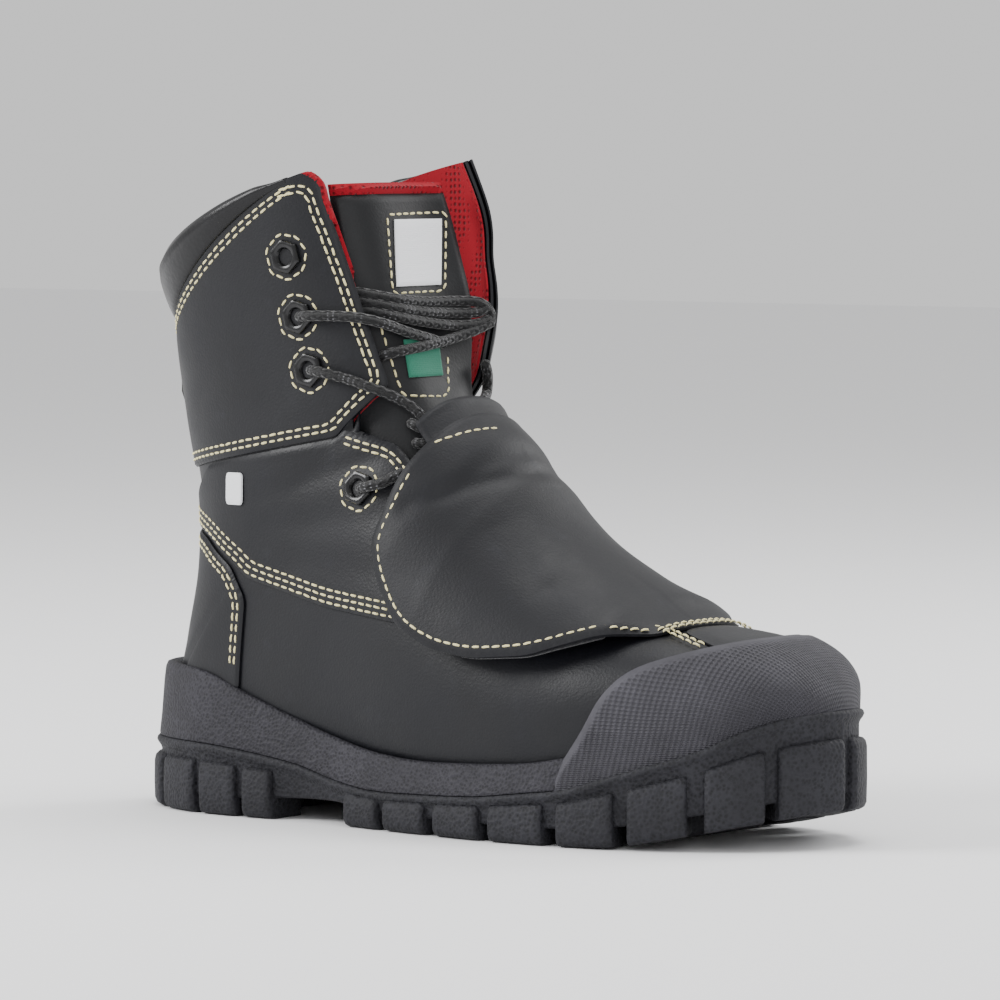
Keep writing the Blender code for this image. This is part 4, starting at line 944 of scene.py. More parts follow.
def fuzzy(name, colour, scale=1400.0):
    """Felt and raw leather edges: fibres with no gloss, mottled at the scale of the fibres."""
    made, tree, shader, place = blank(name, colour, 0.95, IOR=1.45, Sheen_Weight=0.3, Sheen_Roughness=0.5)
    fibres = noise(tree, place, scale, 4.0, 0.75)
    base = mixed(tree, ramp(tree, fibres, 0.4, 0.75), colour, tone(colour, 2.2, 0.003))
    tree.links.new(base, shader.inputs["Base Color"])
    relief(tree, shader, ((fibres, 0.0007, 0.8),))
    return made


def woven(name, colour):
    """Sewing thread and woven polyester tags: matt, with threads that are seen as small ridges."""
    made, tree, shader, place = blank(name, colour, 0.75, IOR=1.46, Sheen_Weight=0.2, Sheen_Roughness=0.4)
    cells = cells_of(tree, place, 1000 / 0.35 / 2, Randomness=0.2)
    relief(tree, shader, ((cells, 0.0003, 0.5),))
    return made


def braided(name, colour, fleck):
    """Braided polyester cord: two sets of threads that wind round it in opposite ways, as sines of its
    length and its turn, with pale flecks where a tracer thread comes up."""
    made, tree, shader, place = blank(name, colour, 0.75, IOR=1.46, Sheen_Weight=0.2, Sheen_Roughness=0.4)
    parts = node(tree, "SeparateXYZ", {0: node(tree, "UVMap").outputs["UV"]}).outputs
    around = joined(tree, "MULTIPLY", parts[0], 2 * np.pi * 4)
    length = joined(tree, "MULTIPLY", parts[1], 2 * np.pi / 0.0042)
    waves = [joined(tree, "SINE", joined(tree, way, length, around)) for way in ("ADD", "SUBTRACT")]
    threads = joined(tree, "MAXIMUM", *waves)
    crossed = ramp(tree, joined(tree, "MULTIPLY", *waves), 0.55, 0.9)
    patch = ramp(tree, noise(tree, place, 120.0), 0.50, 0.62)
    shown = joined(tree, "MULTIPLY", crossed, patch)
    tree.links.new(mixed(tree, shown, colour, fleck), shader.inputs["Base Color"])
    relief(tree, shader, ((threads, 0.0005, 0.7),))
    return made


def enamel(name, colour):
    """Stove-enamelled steel: hard, smooth and black, with a small bright highlight along each edge."""
    made, tree, shader, place = blank(name, colour, 0.30, Metallic=0.55, Coat_Weight=0.4, Coat_Roughness=0.15)
    wear = noise(tree, place, 400.0, 3.0)
    tree.links.new(ramp(tree, wear, 0.3, 0.7, 0.24, 0.42), shader.inputs["Roughness"])
    return made


def plain(name, colour):
    """Matt painted floor: one even tone with the faintest grain."""
    made, tree, shader, place = blank(name, colour, 0.9)
    relief(tree, shader, ((noise(tree, place, 900.0), 0.0001, 0.1),))
    return made


FINISHES = {}


def finish(name):
    """The named finish, made the first time that it is asked for."""
    if name not in FINISHES:
        look = bpy.context.scene.boot_colours
        black, sole = tuple(look.leather), tuple(look.sole)
        recipes = {
            "oiled leather": (leather, black, 0.47),
            "guard leather": (leather, black, 0.55, 0.9, 1.5),
            "collar leather": (leather, linear("#0b0b0e"), 0.32, 1.6, 0.2),
            "tongue leather": (leather, linear("#0e0f12"), 0.55),
            "moulded polyurethane": (rubber, sole, 0.66, 1.3, 0.0005),
            "dimpled scuff cap": (rubber, linear("#37363c"), 0.62, 1.6, 0.0006, 0.0026),
            "tread rubber": (rubber, linear("#1b1b20"), 0.70, 1.5, 0.0005),
            "red knitted mesh": (knit, tuple(look.lining)),
            "raw leather edge": (fuzzy, linear("#17171a")),
            "footbed felt": (fuzzy, linear("#2c2c30"), 900.0),
            "sewing thread": (woven, tuple(look.thread)),
            "braided lace": (braided, linear("#0a0a0c"), linear("#77777b")),
            "white woven tag": (woven, linear("#e6e7ea")),
            "green woven tag": (woven, linear("#1d6b54")),
            "black enamel": (enamel, linear("#0e0e10")),
            "pale floor": (plain, linear("#f4f4f5")),
        }
        recipe, *settings = recipes[name]
        FINISHES[name] = recipe(name, *settings)
    return FINISHES[name]


# Pieces


def guard_lift(p, down, crest):
    """Inside of the flap off the skin: from the ridge's value to the side's value by the square of the
    share of the way down."""
    ridge, side = (np.interp(crest, GUARD_LIFTS[:, 0], GUARD_LIFTS[:, i]) for i in (1, 2))
    return np.maximum((ridge * (1 - down**2) + side * down**2) * GUARD_CLEARANCE, OVERLAY + 2 * GAP)


def guard_creases(p):
    """Creases of the flap in metres, where the leather has bent with the foot: troughs with the shape of a
    bell curve beside short lines seen from the side."""
    total = 0.0
    for first, last, deep, wide in GUARD_CREASES:
        (x0, z0), (x1, z1) = shares((first, last))
        dx, dz = x1 - x0, z1 - z0
        t = np.clip(((p[..., 0] - x0) * dx + (p[..., 2] - z0) * dz) / (dx * dx + dz * dz), 0, 1)
        away = np.hypot(p[..., 0] - x0 - t * dx, p[..., 2] - z0 - t * dz) * 1000
        total = total - deep * np.exp(-((away / wide) ** 2)) * np.where(p[..., 1] < 0, 1.0, 0.7)
    return total / 1000


def guard_face(p, down, crest):
    """Outside of the flap off the skin. It thins towards the toe, where it is sewn down."""
    sewn = ease((p[..., 0] / LENGTH + 0.5 - 0.735) / 0.060)
    raised = guard_lift(p, down, crest) + GUARD_THICK
    return raised * (1 - sewn) + (PANEL_TOP + 0.0011) * sewn + guard_creases(p)


def off_guard(distance):
    """Lift at a distance outwards of the flap's outside."""
    return lambda p, down, crest: guard_face(p, down, crest) + distance


def make_upper():
    """The leather shell, its knitted lining down to the ankle, and the lining's turned-out edge."""
    spans = (TOE, COLLAR), (-1.0, 1.0)
    made = sheet("upper_leather", open_throat, *spans, -WALL, 0.0, "oiled leather", 0.0017)
    settle(made, "oiled_leather", "upper")
    top = inside(((-0.2, 0.60), (0.6, 0.60), (0.6, 1.3), (-0.2, 1.3)), 0.001)

    def lined(p):
        return open_throat(p) + np.where((p[..., 2] > 0.205) & (p[..., 1] < 0), 0.0012, 0.0)

    spans = (12.0, COLLAR), (-1.0, 1.0)
    lifts = -WALL - LINING, -WALL - HAIR
    made = sheet("shaft_lining", both(lined, top), *spans, *lifts, "red knitted mesh", 0.0018)
    settle(made, "oiled_leather")
    # the knit is turned out round the front corner of the outer side
    corner = inside(((0.230, 0.900), (0.400, 0.900), (0.400, 1.100), (0.230, 1.100)), 0.001)
    turned_out = both(lambda p: open_throat(p) + 0.0013, corner, beyond(-1, 0.0))
    spans = (15.0, COLLAR), (-1.0, -0.001)
    lifts = -WALL - HAIR, PANEL_TOP - 0.0004
    made = sheet("lining_edge", turned_out, *spans, *lifts, "red knitted mesh", 0.0012)
    settle(made, "oiled_leather")


def make_panels():
    """Leather panels that lie on the shell, each cut out of the skin by its outline from the side."""
    far = STAY_HALF_WIDTH + GAP
    inner_gap = apart(both(inside(INNER_THROAT), apart(past_facing)))
    outer_panel = both(inside(SHAFT_PANEL, 0.002), beyond(-1, far))
    inner_panel = both(inside(INNER_SHAFT_PANEL, 0.002), beyond(1, far), inner_gap)
    quarter = inside(QUARTER, 0.002)
    stay = both(inside(BACK_STAY), within(STAY_HALF_WIDTH))
    pieces = (
        ("shaft_panel_outer", outer_panel, (9.0, COLLAR), (-1.0, -0.001)),
        ("shaft_panel_inner", inner_panel, (9.0, COLLAR), (0.001, 1.0)),
        ("quarter_outer", both(quarter, beyond(-1, far)), (7.0, 17.0), (-1.0, -0.001)),
        ("quarter_inner", both(quarter, beyond(1, far)), (7.0, 17.0), (0.001, 1.0)),
        ("heel_counter", inside(HEEL_COUNTER), (10.5, 17.0), (0.52, -0.52)),
        ("back_stay", stay, (14.2, COLLAR), (0.70, -0.70)),
        ("toe_cap", inside(TOE_CAP), (0.6, 7.5), (-1.0, 1.0)),
    )
    for name, region, *spans in pieces:
        made = sheet(f"{name}_leather", region, *spans, HAIR, PANEL_TOP, "oiled leather", 0.0011)
        settle(made, "oiled_leather", name)


def make_guard():
    """The flap over the instep: its leather, the felt behind it, and the neck that it hangs from."""
    region = inside(GUARD, 0.004)
    spans = (4.0, 14.0), (-1.0, 1.0)
    lifts = off_guard(-GUARD_LEATHER), guard_face
    made = sheet("guard_leather", region, *spans, *lifts, "guard leather", 0.0012, 0.0016)
    settle(made, "oiled_leather", "met_guard")

    def felt(p, down, crest):
        return guard_lift(p, down, crest) + HAIR + guard_creases(p)

    behind = inside(((0.300, 0.200), (0.748, 0.200), (0.748, 0.800), (0.300, 0.800)), 0.002)
    lifts = felt, off_guard(-GUARD_LEATHER - HAIR)
    made = sheet("guard_felt", both(region, behind), *spans, *lifts, "raw leather edge", 0.0014, 0.0008)
    settle(made, "oiled_leather")
    neck = both(inside(GUARD_NECK, 0.004), within(NECK_HALF_WIDTH))
    lifts = off_guard(-0.0040), off_guard(-0.0016)
    made = sheet("guard_neck_leather", neck, (8.0, 15.5), (-0.6, 0.6), *lifts, "guard leather", 0.0011)
    settle(made, "oiled_leather", "guard_neck")


def make_tongue():
    """The tongue widens downwards on its outer side, and its top is bound with the knitted mesh."""
    outline = rounded(TONGUE, 0.014)

    def under_top(p, distance=0.0):
        return depth_in(outline - (0, distance), p[..., 0], p[..., 2])

    def whole(p):
        wide = 0.010 * ease((0.172 - p[..., 2]) / 0.020)
        sides = np.minimum(p[..., 1] + 0.033 + wide, 0.0220 + 0.2 * wide - p[..., 1])
        return np.minimum(under_top(p), sides)

    def below(p):
        return np.minimum(under_top(p, BINDING), whole(p))

    def band(p):
        return np.min([whole(p), 0.0004 - under_top(p, BINDING), p[..., 2] - 0.200], axis=0)

    lifts = TONGUE_FACE - TONGUE_THICK, TONGUE_FACE
    made = sheet("tongue_leather", below, (9.0, COLLAR), (-0.6, 0.6), *lifts, "tongue leather", 0.0012, 0.002)
    settle(made, "tongue_leather", "tongue")
    lifts = TONGUE_FACE - 0.0045, TONGUE_FACE + 0.0010
    spans = (15.0, COLLAR), (-0.6, 0.6)
    made = sheet("tongue_binding", band, *spans, *lifts, "red knitted mesh", 0.001, 0.003)
    settle(made, "tongue_leather")


def carried(line, inward, rows):
    """Rings round an outline, from rows of inset and height."""
    return [np.c_[line + inward * np.broadcast_to(inset, len(line))[:, None], up] for inset, up in rows]


def drawn_in(ring, centre, shares, height):
    """Rings that close the inside of a ring, drawn in to a middle line by shares."""
    return [np.c_[centre + (ring[:, :2] - centre) * share, height] for share in shares]


def ring_object(name, rings, look, sharp=45):
    """Object from rings of equal length, each joined to the next and the last to the first."""
    faces = grid_faces(len(rings), len(rings[0]), True, True)[:, ::-1]
    return new_object(name, np.array(rings), faces, finish(look), sharp)


def make_sole():
    """The wall of the midsole and the cup of the outsole: rows of inset and height round the outline."""
    line, inward = sole_line(720)
    x = line[:, 0]
    bead, edge, base, plate = (sole_height(name, x) for name in ("bead", "edge", "base", "plate"))
    tuck = 0.0026 * ease((x / LENGTH + 0.5 - 0.70) / 0.05)
    rise = edge - bead
    # inset and share of the wall's height, then what is added to the height
    wall = (
        (0.0024, 0.0, 0.0003), (0.0022, 0.0, 0.0012), (0.0030, 0.30, 0.0), (0.0040, 0.75, 0.0),
        (0.0046, 0.92, 0.0), (0.0054, 0.985, 0.0), (0.0066, 1.0, 0.0), (0.0085, 1.0, -0.0006),
        (0.0115, 1.0, -0.0030),
    )
    rows = (
        (0.0062, plate + GAP), (0.0046, bead + GAP),
        *((inset + tuck, bead + share * rise + more) for inset, share, more in wall),
        (0.0130, bead + 0.1 * rise), (0.0130, plate + GAP),
    )
    made = ring_object("midsole_wall", carried(line, inward, rows), "moulded polyurethane", 60)
    settle(made, "midsole_polyurethane", "midsole")
    cup = (
        (0.0170, base + 0.0010), (LUG_PROUD + 0.0025, base), (LUG_PROUD + 0.0006, base + 0.0004),
        (LUG_PROUD, base + 0.0012), (LUG_PROUD, bead - 0.0052), (LUG_PROUD - 0.0004, bead - 0.0040),
        (BEAD_INSET + 0.0002, bead - 0.0026), (BEAD_INSET - 0.0003, bead - 0.0016),
        (BEAD_INSET, bead - 0.0006), (BEAD_INSET + 0.0006, bead), (BEAD_INSET + RIM_WALL, bead),
        (BEAD_INSET + RIM_WALL, plate),
    )
    rings = carried(line, inward, cup)
    share = np.linspace(0.72, 0.0, 8)
    centre = np.c_[x * 0.97, line[:, 1] * 0.0]
    lid = drawn_in(rings[-1], centre, share, rings[-1][:, 2])
    floor = drawn_in(rings[0], centre, share[::-1], sole_height("base", x * 0.97) + 0.0010)
    made = ring_object("outsole_cup", floor[:-1] + rings + lid, "tread rubber", 50)
    settle(made, "outsole_rubber", "outsole")


def lug_block(first, last, side, steps=14):
    """One tread block as a closed grid: its section carried along the side of the sole, with its ends drawn
    in by a rounded amount so that every edge is soft."""
    edge = side_edges(0.0)[0 if side < 0 else 1].T
    length = lengths(edge)
    start, end = np.interp((first, last), edge[:, 0] / LENGTH + 0.5, length)
    round_end = min(0.0022, (end - start) * 0.2)
    turn = np.array([0, 0.25, 0.6]) * np.pi / 2
    in_by, pulled = round_end * (1 - np.cos(turn)), round_end * (1 - np.sin(turn))
    inner_run = np.linspace(start + round_end, end - round_end, steps)
    at = np.r_[start + in_by, inner_run, end - in_by[::-1]]
    pull = np.r_[pulled, np.zeros(steps), pulled[::-1]] * 0.8
    outer = at_lengths(edge, length, at)
    run = np.gradient(outer, axis=0)
    inward = np.stack([-run[:, 1], run[:, 0]], 1) * -side
    inward /= np.linalg.norm(inward, axis=1)[:, None]
    ground, bead, base = (sole_height(name, outer[:, 0]) for name in ("ground", "bead", "base"))
    top = base + (bead - base) * 0.66
    section = (
        (0.0180, ground + 0.0003), (0.0050, ground), (0.0026, ground + 0.0003), (0.0010, ground + 0.0012),
        (0.0002, ground + 0.0030), (0.0, ground + 0.45 * (top - ground)), (0.0001, top - 0.0030),
        (0.0006, top - 0.0010), (0.0016, top), (0.0032, top + 0.0004), (0.0060, top - 0.0030),
        (0.0180, base + 0.0012),
    )
    grid = np.array(carried(outer, inward, ((inset + pull, up) for inset, up in section))).transpose(1, 0, 2)
    return grid if side > 0 else grid[:, ::-1]


def closed_grids(name, grids, material_name):
    """One object from grids that are each closed round their columns, with both ends filled by strips."""
    faces, start = [], 0
    for grid in grids:
        rows, columns = grid.shape[:2]
        body = grid_faces(rows, columns, close_columns=True)
        ends = end_caps(columns)
        faces.append(np.vstack([body, ends, ends[:, ::-1] + (rows - 1) * columns]) + start)
        start += rows * columns
    points = np.vstack([grid.reshape(-1, 3) for grid in grids])
    return new_object(name, points, np.vstack(faces), finish(material_name))


def make_tread():
    """Blocks round the edge, and bars down the middle. A bar's plan is a rounded box, where the fourth powers
    of the two shares add up to 1, with a wave of three along it, and it widens towards the sole."""
    blocks = [lug_block(first, last, side) for side in (-1, 1) for first, last in LUGS]
    settle(closed_grids("tread_blocks", blocks, "tread rubber"), "outsole_rubber")
    bars = []
    angle = np.linspace(0, 2 * np.pi, 40, endpoint=False)
    for along, half_length, half_width in MIDDLE_BARS:
        x0 = along * LENGTH - LENGTH / 2
        a, b = half_length * SOLE_WIDTH, half_width * SOLE_WIDTH
        round_box = (abs(np.cos(angle)) ** 4 + abs(np.sin(angle)) ** 4) ** -0.25
        wave = 0.25 * a * np.cos(3 * angle)
        across = x0 + a * np.cos(angle) * round_box + wave * abs(np.sin(angle))
        plan = np.stack([across, b * np.sin(angle) * round_box], 1)
        low = sole_height("ground", plan[:, 0]) + 0.0005
        high = sole_height("base", plan[:, 0]) + 0.0015
        rings = [
            np.c_[(plan - (x0, 0)) * s + (x0, 0), low + rise * (high - low)]
            for s, rise in ((0.70, 0.0), (0.90, 0.0), (0.97, 0.06), (1.0, 0.25), (1.04, 1.0))
        ]
        bars.append(np.array(rings))
    settle(closed_grids("tread_bars", bars, "tread rubber"), "outsole_rubber")


def make_bumper():
    """The dimpled scuff cap that rises from the bead over the toe: it stands off the skin by its own
    thickness, and flares out to meet the cup as it comes down to the bead."""
    line, _ = sole_line(260)

    def reach(p):
        away = np.sqrt(((p[:, None, :2] - line[None]) ** 2).sum(-1).min(1))
        return away - 0.0026

    def face(p, down, crest):
        share = ease((sole_height("bead", p[:, 0]) + 0.016 - p[:, 2]) / 0.015)
        return 0.0047 * (1 - share) + np.maximum(reach(p), 0.003) * share

    def foot(p):
        return p[..., 2] - sole_height("bead", p[..., 0]) + 0.0010

    region = both(inside(BUMPER, 0.010), foot)
    spans = (0.05, 8.6), (-1.0, 1.0)
    lifts = OVERLAY + 2 * GAP, face
    made = sheet("toe_bumper", region, *spans, *lifts, "dimpled scuff cap", 0.0012, 0.0022, uv=True)
    settle(made, "midsole_polyurethane")


def make_insole():
    """The footbed: a flat sheet with a rounded edge, inside the foot's outline."""
    line, inward = sole_line(300)
    feather = sole_height("feather", line[:, 0])
    rows = ((0.0172, 0.0), (0.0170, 0.0028), (0.0178, 0.0035), (0.026, 0.0037))
    rings = carried(line, inward, [(inset, feather + more) for inset, more in rows])
    centre = np.c_[line[:, 0] * 0.95, line[:, 1] * 0]
    share = (0.6, 0.3, 0.0)
    lid = drawn_in(rings[-1], centre, share, feather + 0.0037)
    floor = drawn_in(rings[0], centre, share[::-1], feather)
    made = ring_object("footbed", floor[:-1] + rings + lid, "footbed felt")
    settle(made, "footbed_felt", "insole")


def collar_drop(share):
    """Height of the roll's outer leg by the share of the way round, deepest at the back: a raised sine."""
    return 0.0025 + 0.0150 * np.sin(np.clip(share, 0, 1) * np.pi) ** 1.1


def make_collar():
    """The padded roll round the collar. Its section is an upside-down U whose outside is an arc, carried
    along the collar's edge, with the legs following the skin down."""
    stations = 260
    v = np.r_[np.linspace(-0.345, -1.0, stations // 2), np.linspace(1.0, 0.33, stations // 2)[1:]]
    u = np.full(len(v), float(COLLAR))
    edge, fall = surface(u, v)[0], surface(u - 1.0, v)[0]
    per_u = np.linalg.norm(edge - fall, axis=1)
    length = lengths(edge)
    back = np.sin(length / length[-1] * np.pi) ** 0.8
    taper = ease(length / 0.016) * ease((length[-1] - length) / 0.016)
    drop = collar_drop(length / length[-1])
    proud = (0.0006 + 0.0056 * back) * (0.3 + 0.7 * taper)
    lined = (0.0008 + 0.0035 * back) * (0.4 + 0.6 * taper)
    rise = 0.0006 + 0.0068 * back * taper
    up = edge - fall
    up /= np.linalg.norm(up, axis=1)[:, None]
    rows = []
    for t in np.linspace(0, 1, 22):
        angle = t * np.pi
        if t < 0.5:
            lift = PANEL_TOP + proud * np.sin(angle) ** 0.7
        else:
            lift = -WALL - lined * np.sin(angle) ** 0.7
        low = drop * (1 - t / 0.42) if t < 0.42 else 0.8 * drop * max(t - 0.58, 0) / 0.42
        low = np.maximum(low, 0)
        p, n, _, _ = surface(np.clip(COLLAR - low / per_u, TOE, COLLAR), v)
        crown = np.clip(1 - abs(t - 0.5) / 0.16, 0, 1)
        over = PANEL_TOP + proud - (PANEL_TOP + proud + WALL + lined) * ease((t - 0.36) / 0.28)
        lift = np.where((t > 0.36) & (t < 0.64), over, lift)
        rows.append(p + n * lift[:, None] + up * (rise * np.sin(crown * np.pi / 2))[:, None])
    made = new_object("collar_roll", np.array(rows).transpose(1, 0, 2).reshape(-1, 3),
                      grid_faces(len(v), len(rows)), finish("collar leather"), 70)
    shape = bmesh.new()
    shape.from_mesh(made.data)
    bmesh.ops.recalc_face_normals(shape, faces=shape.faces)
    bmesh.ops.holes_fill(shape, edges=[e for e in shape.edges if e.is_boundary], sides=0)
    shape.to_mesh(made.data)
    shape.free()
    settle(made, "collar_leather", "collar_pad")


def frame_at(place, side):
    """Point of the skin seen from the side at a place, with its outward, forward and upward directions."""
    u, v = seat([place], "side", side)
    p, normal = (values[0] for values in surface(u, v)[:2])
    forward = np.array([1.0, 0, 0]) - normal * normal[0]
    forward /= np.linalg.norm(forward)
    upward = np.cross(forward, normal)
    return p, normal, forward, upward * np.sign(upward[2])


def eyelet_frame(side, number):
    """frame_at for one eyelet."""
    outer, inner, height = EYELETS[number]
    return frame_at(shares([(outer if side < 0 else inner, height)])[0], side)


def ring_in(frame, across, up, lift):
    """Ring of points round a frame, with its values in millimetres."""
    p, normal, forward, upward = frame
    return (
        p + (across / 1000)[:, None] * forward + (up / 1000)[:, None] * upward
        + normal * (PANEL_TOP + lift / 1000)
    )


def make_eyelets():
    """Hexagonal washers: rings whose radius is that of a hexagon outside and of a circle inside."""
    angle = np.linspace(0, 2 * np.pi, 72, endpoint=False)
    hexagon = np.cos(np.pi / 6) / np.cos((angle + np.pi / 12) % (np.pi / 3) - np.pi / 6)
    hexagon = np.minimum(hexagon, 0.975)
    # radius and lift in millimetres
    profile = (
        (6.7 * hexagon, 0.0), (6.7 * hexagon, 1.1), (6.45 * hexagon, 1.5), (5.9 * hexagon, 1.7),
        (4.3, 1.7), (3.6, 1.35), (3.0, 0.5), (2.75, -1.5), (3.1, -1.5), (3.4, 0.0),
    )
    for side, label in ((-1, "outer"), (1, "inner")):
        for number in range(len(EYELETS)):
            frame = eyelet_frame(side, number)
            rings = [ring_in(frame, r * np.cos(angle), r * np.sin(angle), lift) for r, lift in profile]
            faces = grid_faces(len(rings), len(angle), True, True)
            _, normal, forward, upward = frame
            if np.cross(forward, upward) @ normal <= 0:
                faces = faces[:, ::-1]
            name = f"{label}_{number + 1}"
            made = new_object(f"eyelet_ring_{name}", np.array(rings), faces, finish("black enamel"), 28)
            settle(made, "eyelet_enamel", f"eyelet_{name}")


def make_lace():
    """The strands that show, each through its places. The bars from the eyelets start behind the leather."""
    radius = bpy.context.scene.boot_sizes.lace / 2

    def from_eyelet(number):
        """Two points at an outer eyelet: behind it, and in front of its hole."""
        p, normal, forward, _ = eyelet_frame(-1, number)
        return [p - normal * 3 / 1000, p + forward * 0.8 / 1000 + normal * 1.5 / 1000]

    def laid(*places):
        """Points on the skin at places in the picture, each with its lift in millimetres."""
        places = np.array(places, float)
        u, v = seat(picture(*places[:, :2]), "picture")
        p, normal, _, _ = surface(u, v)
        return list(p + normal * places[:, 2:] / 1000)

    paths = (
        from_eyelet(1) + laid(
            (318, 316, 5.2), (345, 317, 4.2), (366, 320, 3.8), (388, 325, 0.5), (412, 330, -2.2),
            (440, 338, -2.2), (452, 342, -3.0),
        ),
        from_eyelet(2) + laid(
            (330, 373, 5.2), (350, 379, 4.2), (368, 386, 3.8), (386, 394, 2.5), (402, 401, 0.5),
            (416, 411, 0.5), (427, 424, 0.2), (432, 436, -1.0),
        ),
        from_eyelet(3) + laid((374, 489, 5.2), (386, 486, 4.6), (397, 480, 4.0), (408, 474, 3.8)),
        laid(
            (352, 290, -3.2), (372, 293, -2.0), (400, 297, -2.2), (430, 300, -2.2), (458, 300, -1.0),
            (480, 303, 0.5), (490, 314, 0.5), (489, 328, 0.0),
        ),
        laid(
            (354, 299, -3.2), (374, 302, -2.0), (400, 306, -2.2), (430, 310, -2.2), (458, 312, -1.0),
            (478, 312, 0.5), (488, 306, 1.0),
        ),
        laid(
            (358, 309, -3.2), (376, 311, -2.0), (400, 315, -2.2), (430, 320, -2.2), (456, 324, -1.0),
            (476, 324, 0.5), (490, 318, 1.0),
        ),
        laid(
            (378, 356, -3.2), (396, 351, -2.2), (430, 344, -2.2), (456, 337, -1.0), (476, 330, 0.5),
            (490, 322, 1.2),
        ),
        laid((484, 360, 0.5), (490, 372, 1.0), (489, 388, 1.0), (484, 402, 0.0)),
        laid((408, 420, -2.0), (418, 427, 0.5), (429, 434, 1.0), (424, 444, 1.0), (412, 441, -0.5)),
    )
    points, faces, uvs = zip(*(tube(smooth_path(path), radius) for path in paths))
    starts = np.cumsum([0] + [len(group) for group in points[:-1]])
    faces = np.vstack([group + start for group, start in zip(faces, starts)])
    made = new_object("lace_cord", np.vstack(points), faces, finish("braided lace"), 80)
    set_uv(made, np.vstack(uvs))
    settle(made, "lace_cord", "lace")


def make_tags():
    """Bare labels: the side tag is a rounded box, where the eighth powers of the two shares add up to 1, and
    the tongue's labels are cut from the skin by where they are seen in the picture."""
    frame = frame_at(shares([(0.197, 0.497)])[0], -1)
    angle = np.linspace(0, 2 * np.pi, 64, endpoint=False)
    round_box = (abs(np.cos(angle)) ** 8 + abs(np.sin(angle)) ** 8) ** -0.125
    across, up = 4.6 * np.cos(angle) * round_box, 6.1 * np.sin(angle) * round_box
    profile = ((0.9, 0.1), (1.0, 0.2), (1.0, 0.8), (0.96, 1.05), (0.6, 1.1), (0.0, 1.1))
    rings = [ring_in(frame, across * scale, up * scale, lift) for scale, lift in profile]
    rings.insert(0, np.repeat(rings[0].mean(0)[None], len(angle), 0))
    faces = grid_faces(len(rings), len(angle), close_columns=True)
    made = new_object("side_tag_bare", np.array(rings), faces, finish("white woven tag"))
    settle(made, "woven_tag", "side_tag")
    labels = (
        ("tongue_plate_bare", ((402, 217), (447, 216), (448, 281), (404, 283)), "white", ["tongue_patch"]),
        ("tongue_label_green", ((410, 336), (447, 334), (452, 371), (414, 374)), "green", []),
        ("tongue_label_low", ((405, 399), (466, 399), (468, 409), (407, 409)), "white", []),
    )
    lifts = TONGUE_FACE, TONGUE_FACE + LABEL
    for name, corners, colour, nodes in labels:
        region = seen_within(picture(*corners))
        look = f"{colour} woven tag"
        made = sheet(name, region, (13.0, COLLAR), (-0.6, 0.6), *lifts, look, 0.0009, 0.0006)
        settle(made, "woven_tag", *nodes)


def seen_within(outline):
    """Region of the points that are seen within an outline in the picture."""
    return lambda p: depth_in(outline, *np.moveaxis(in_picture(p)[0], -1, 0))


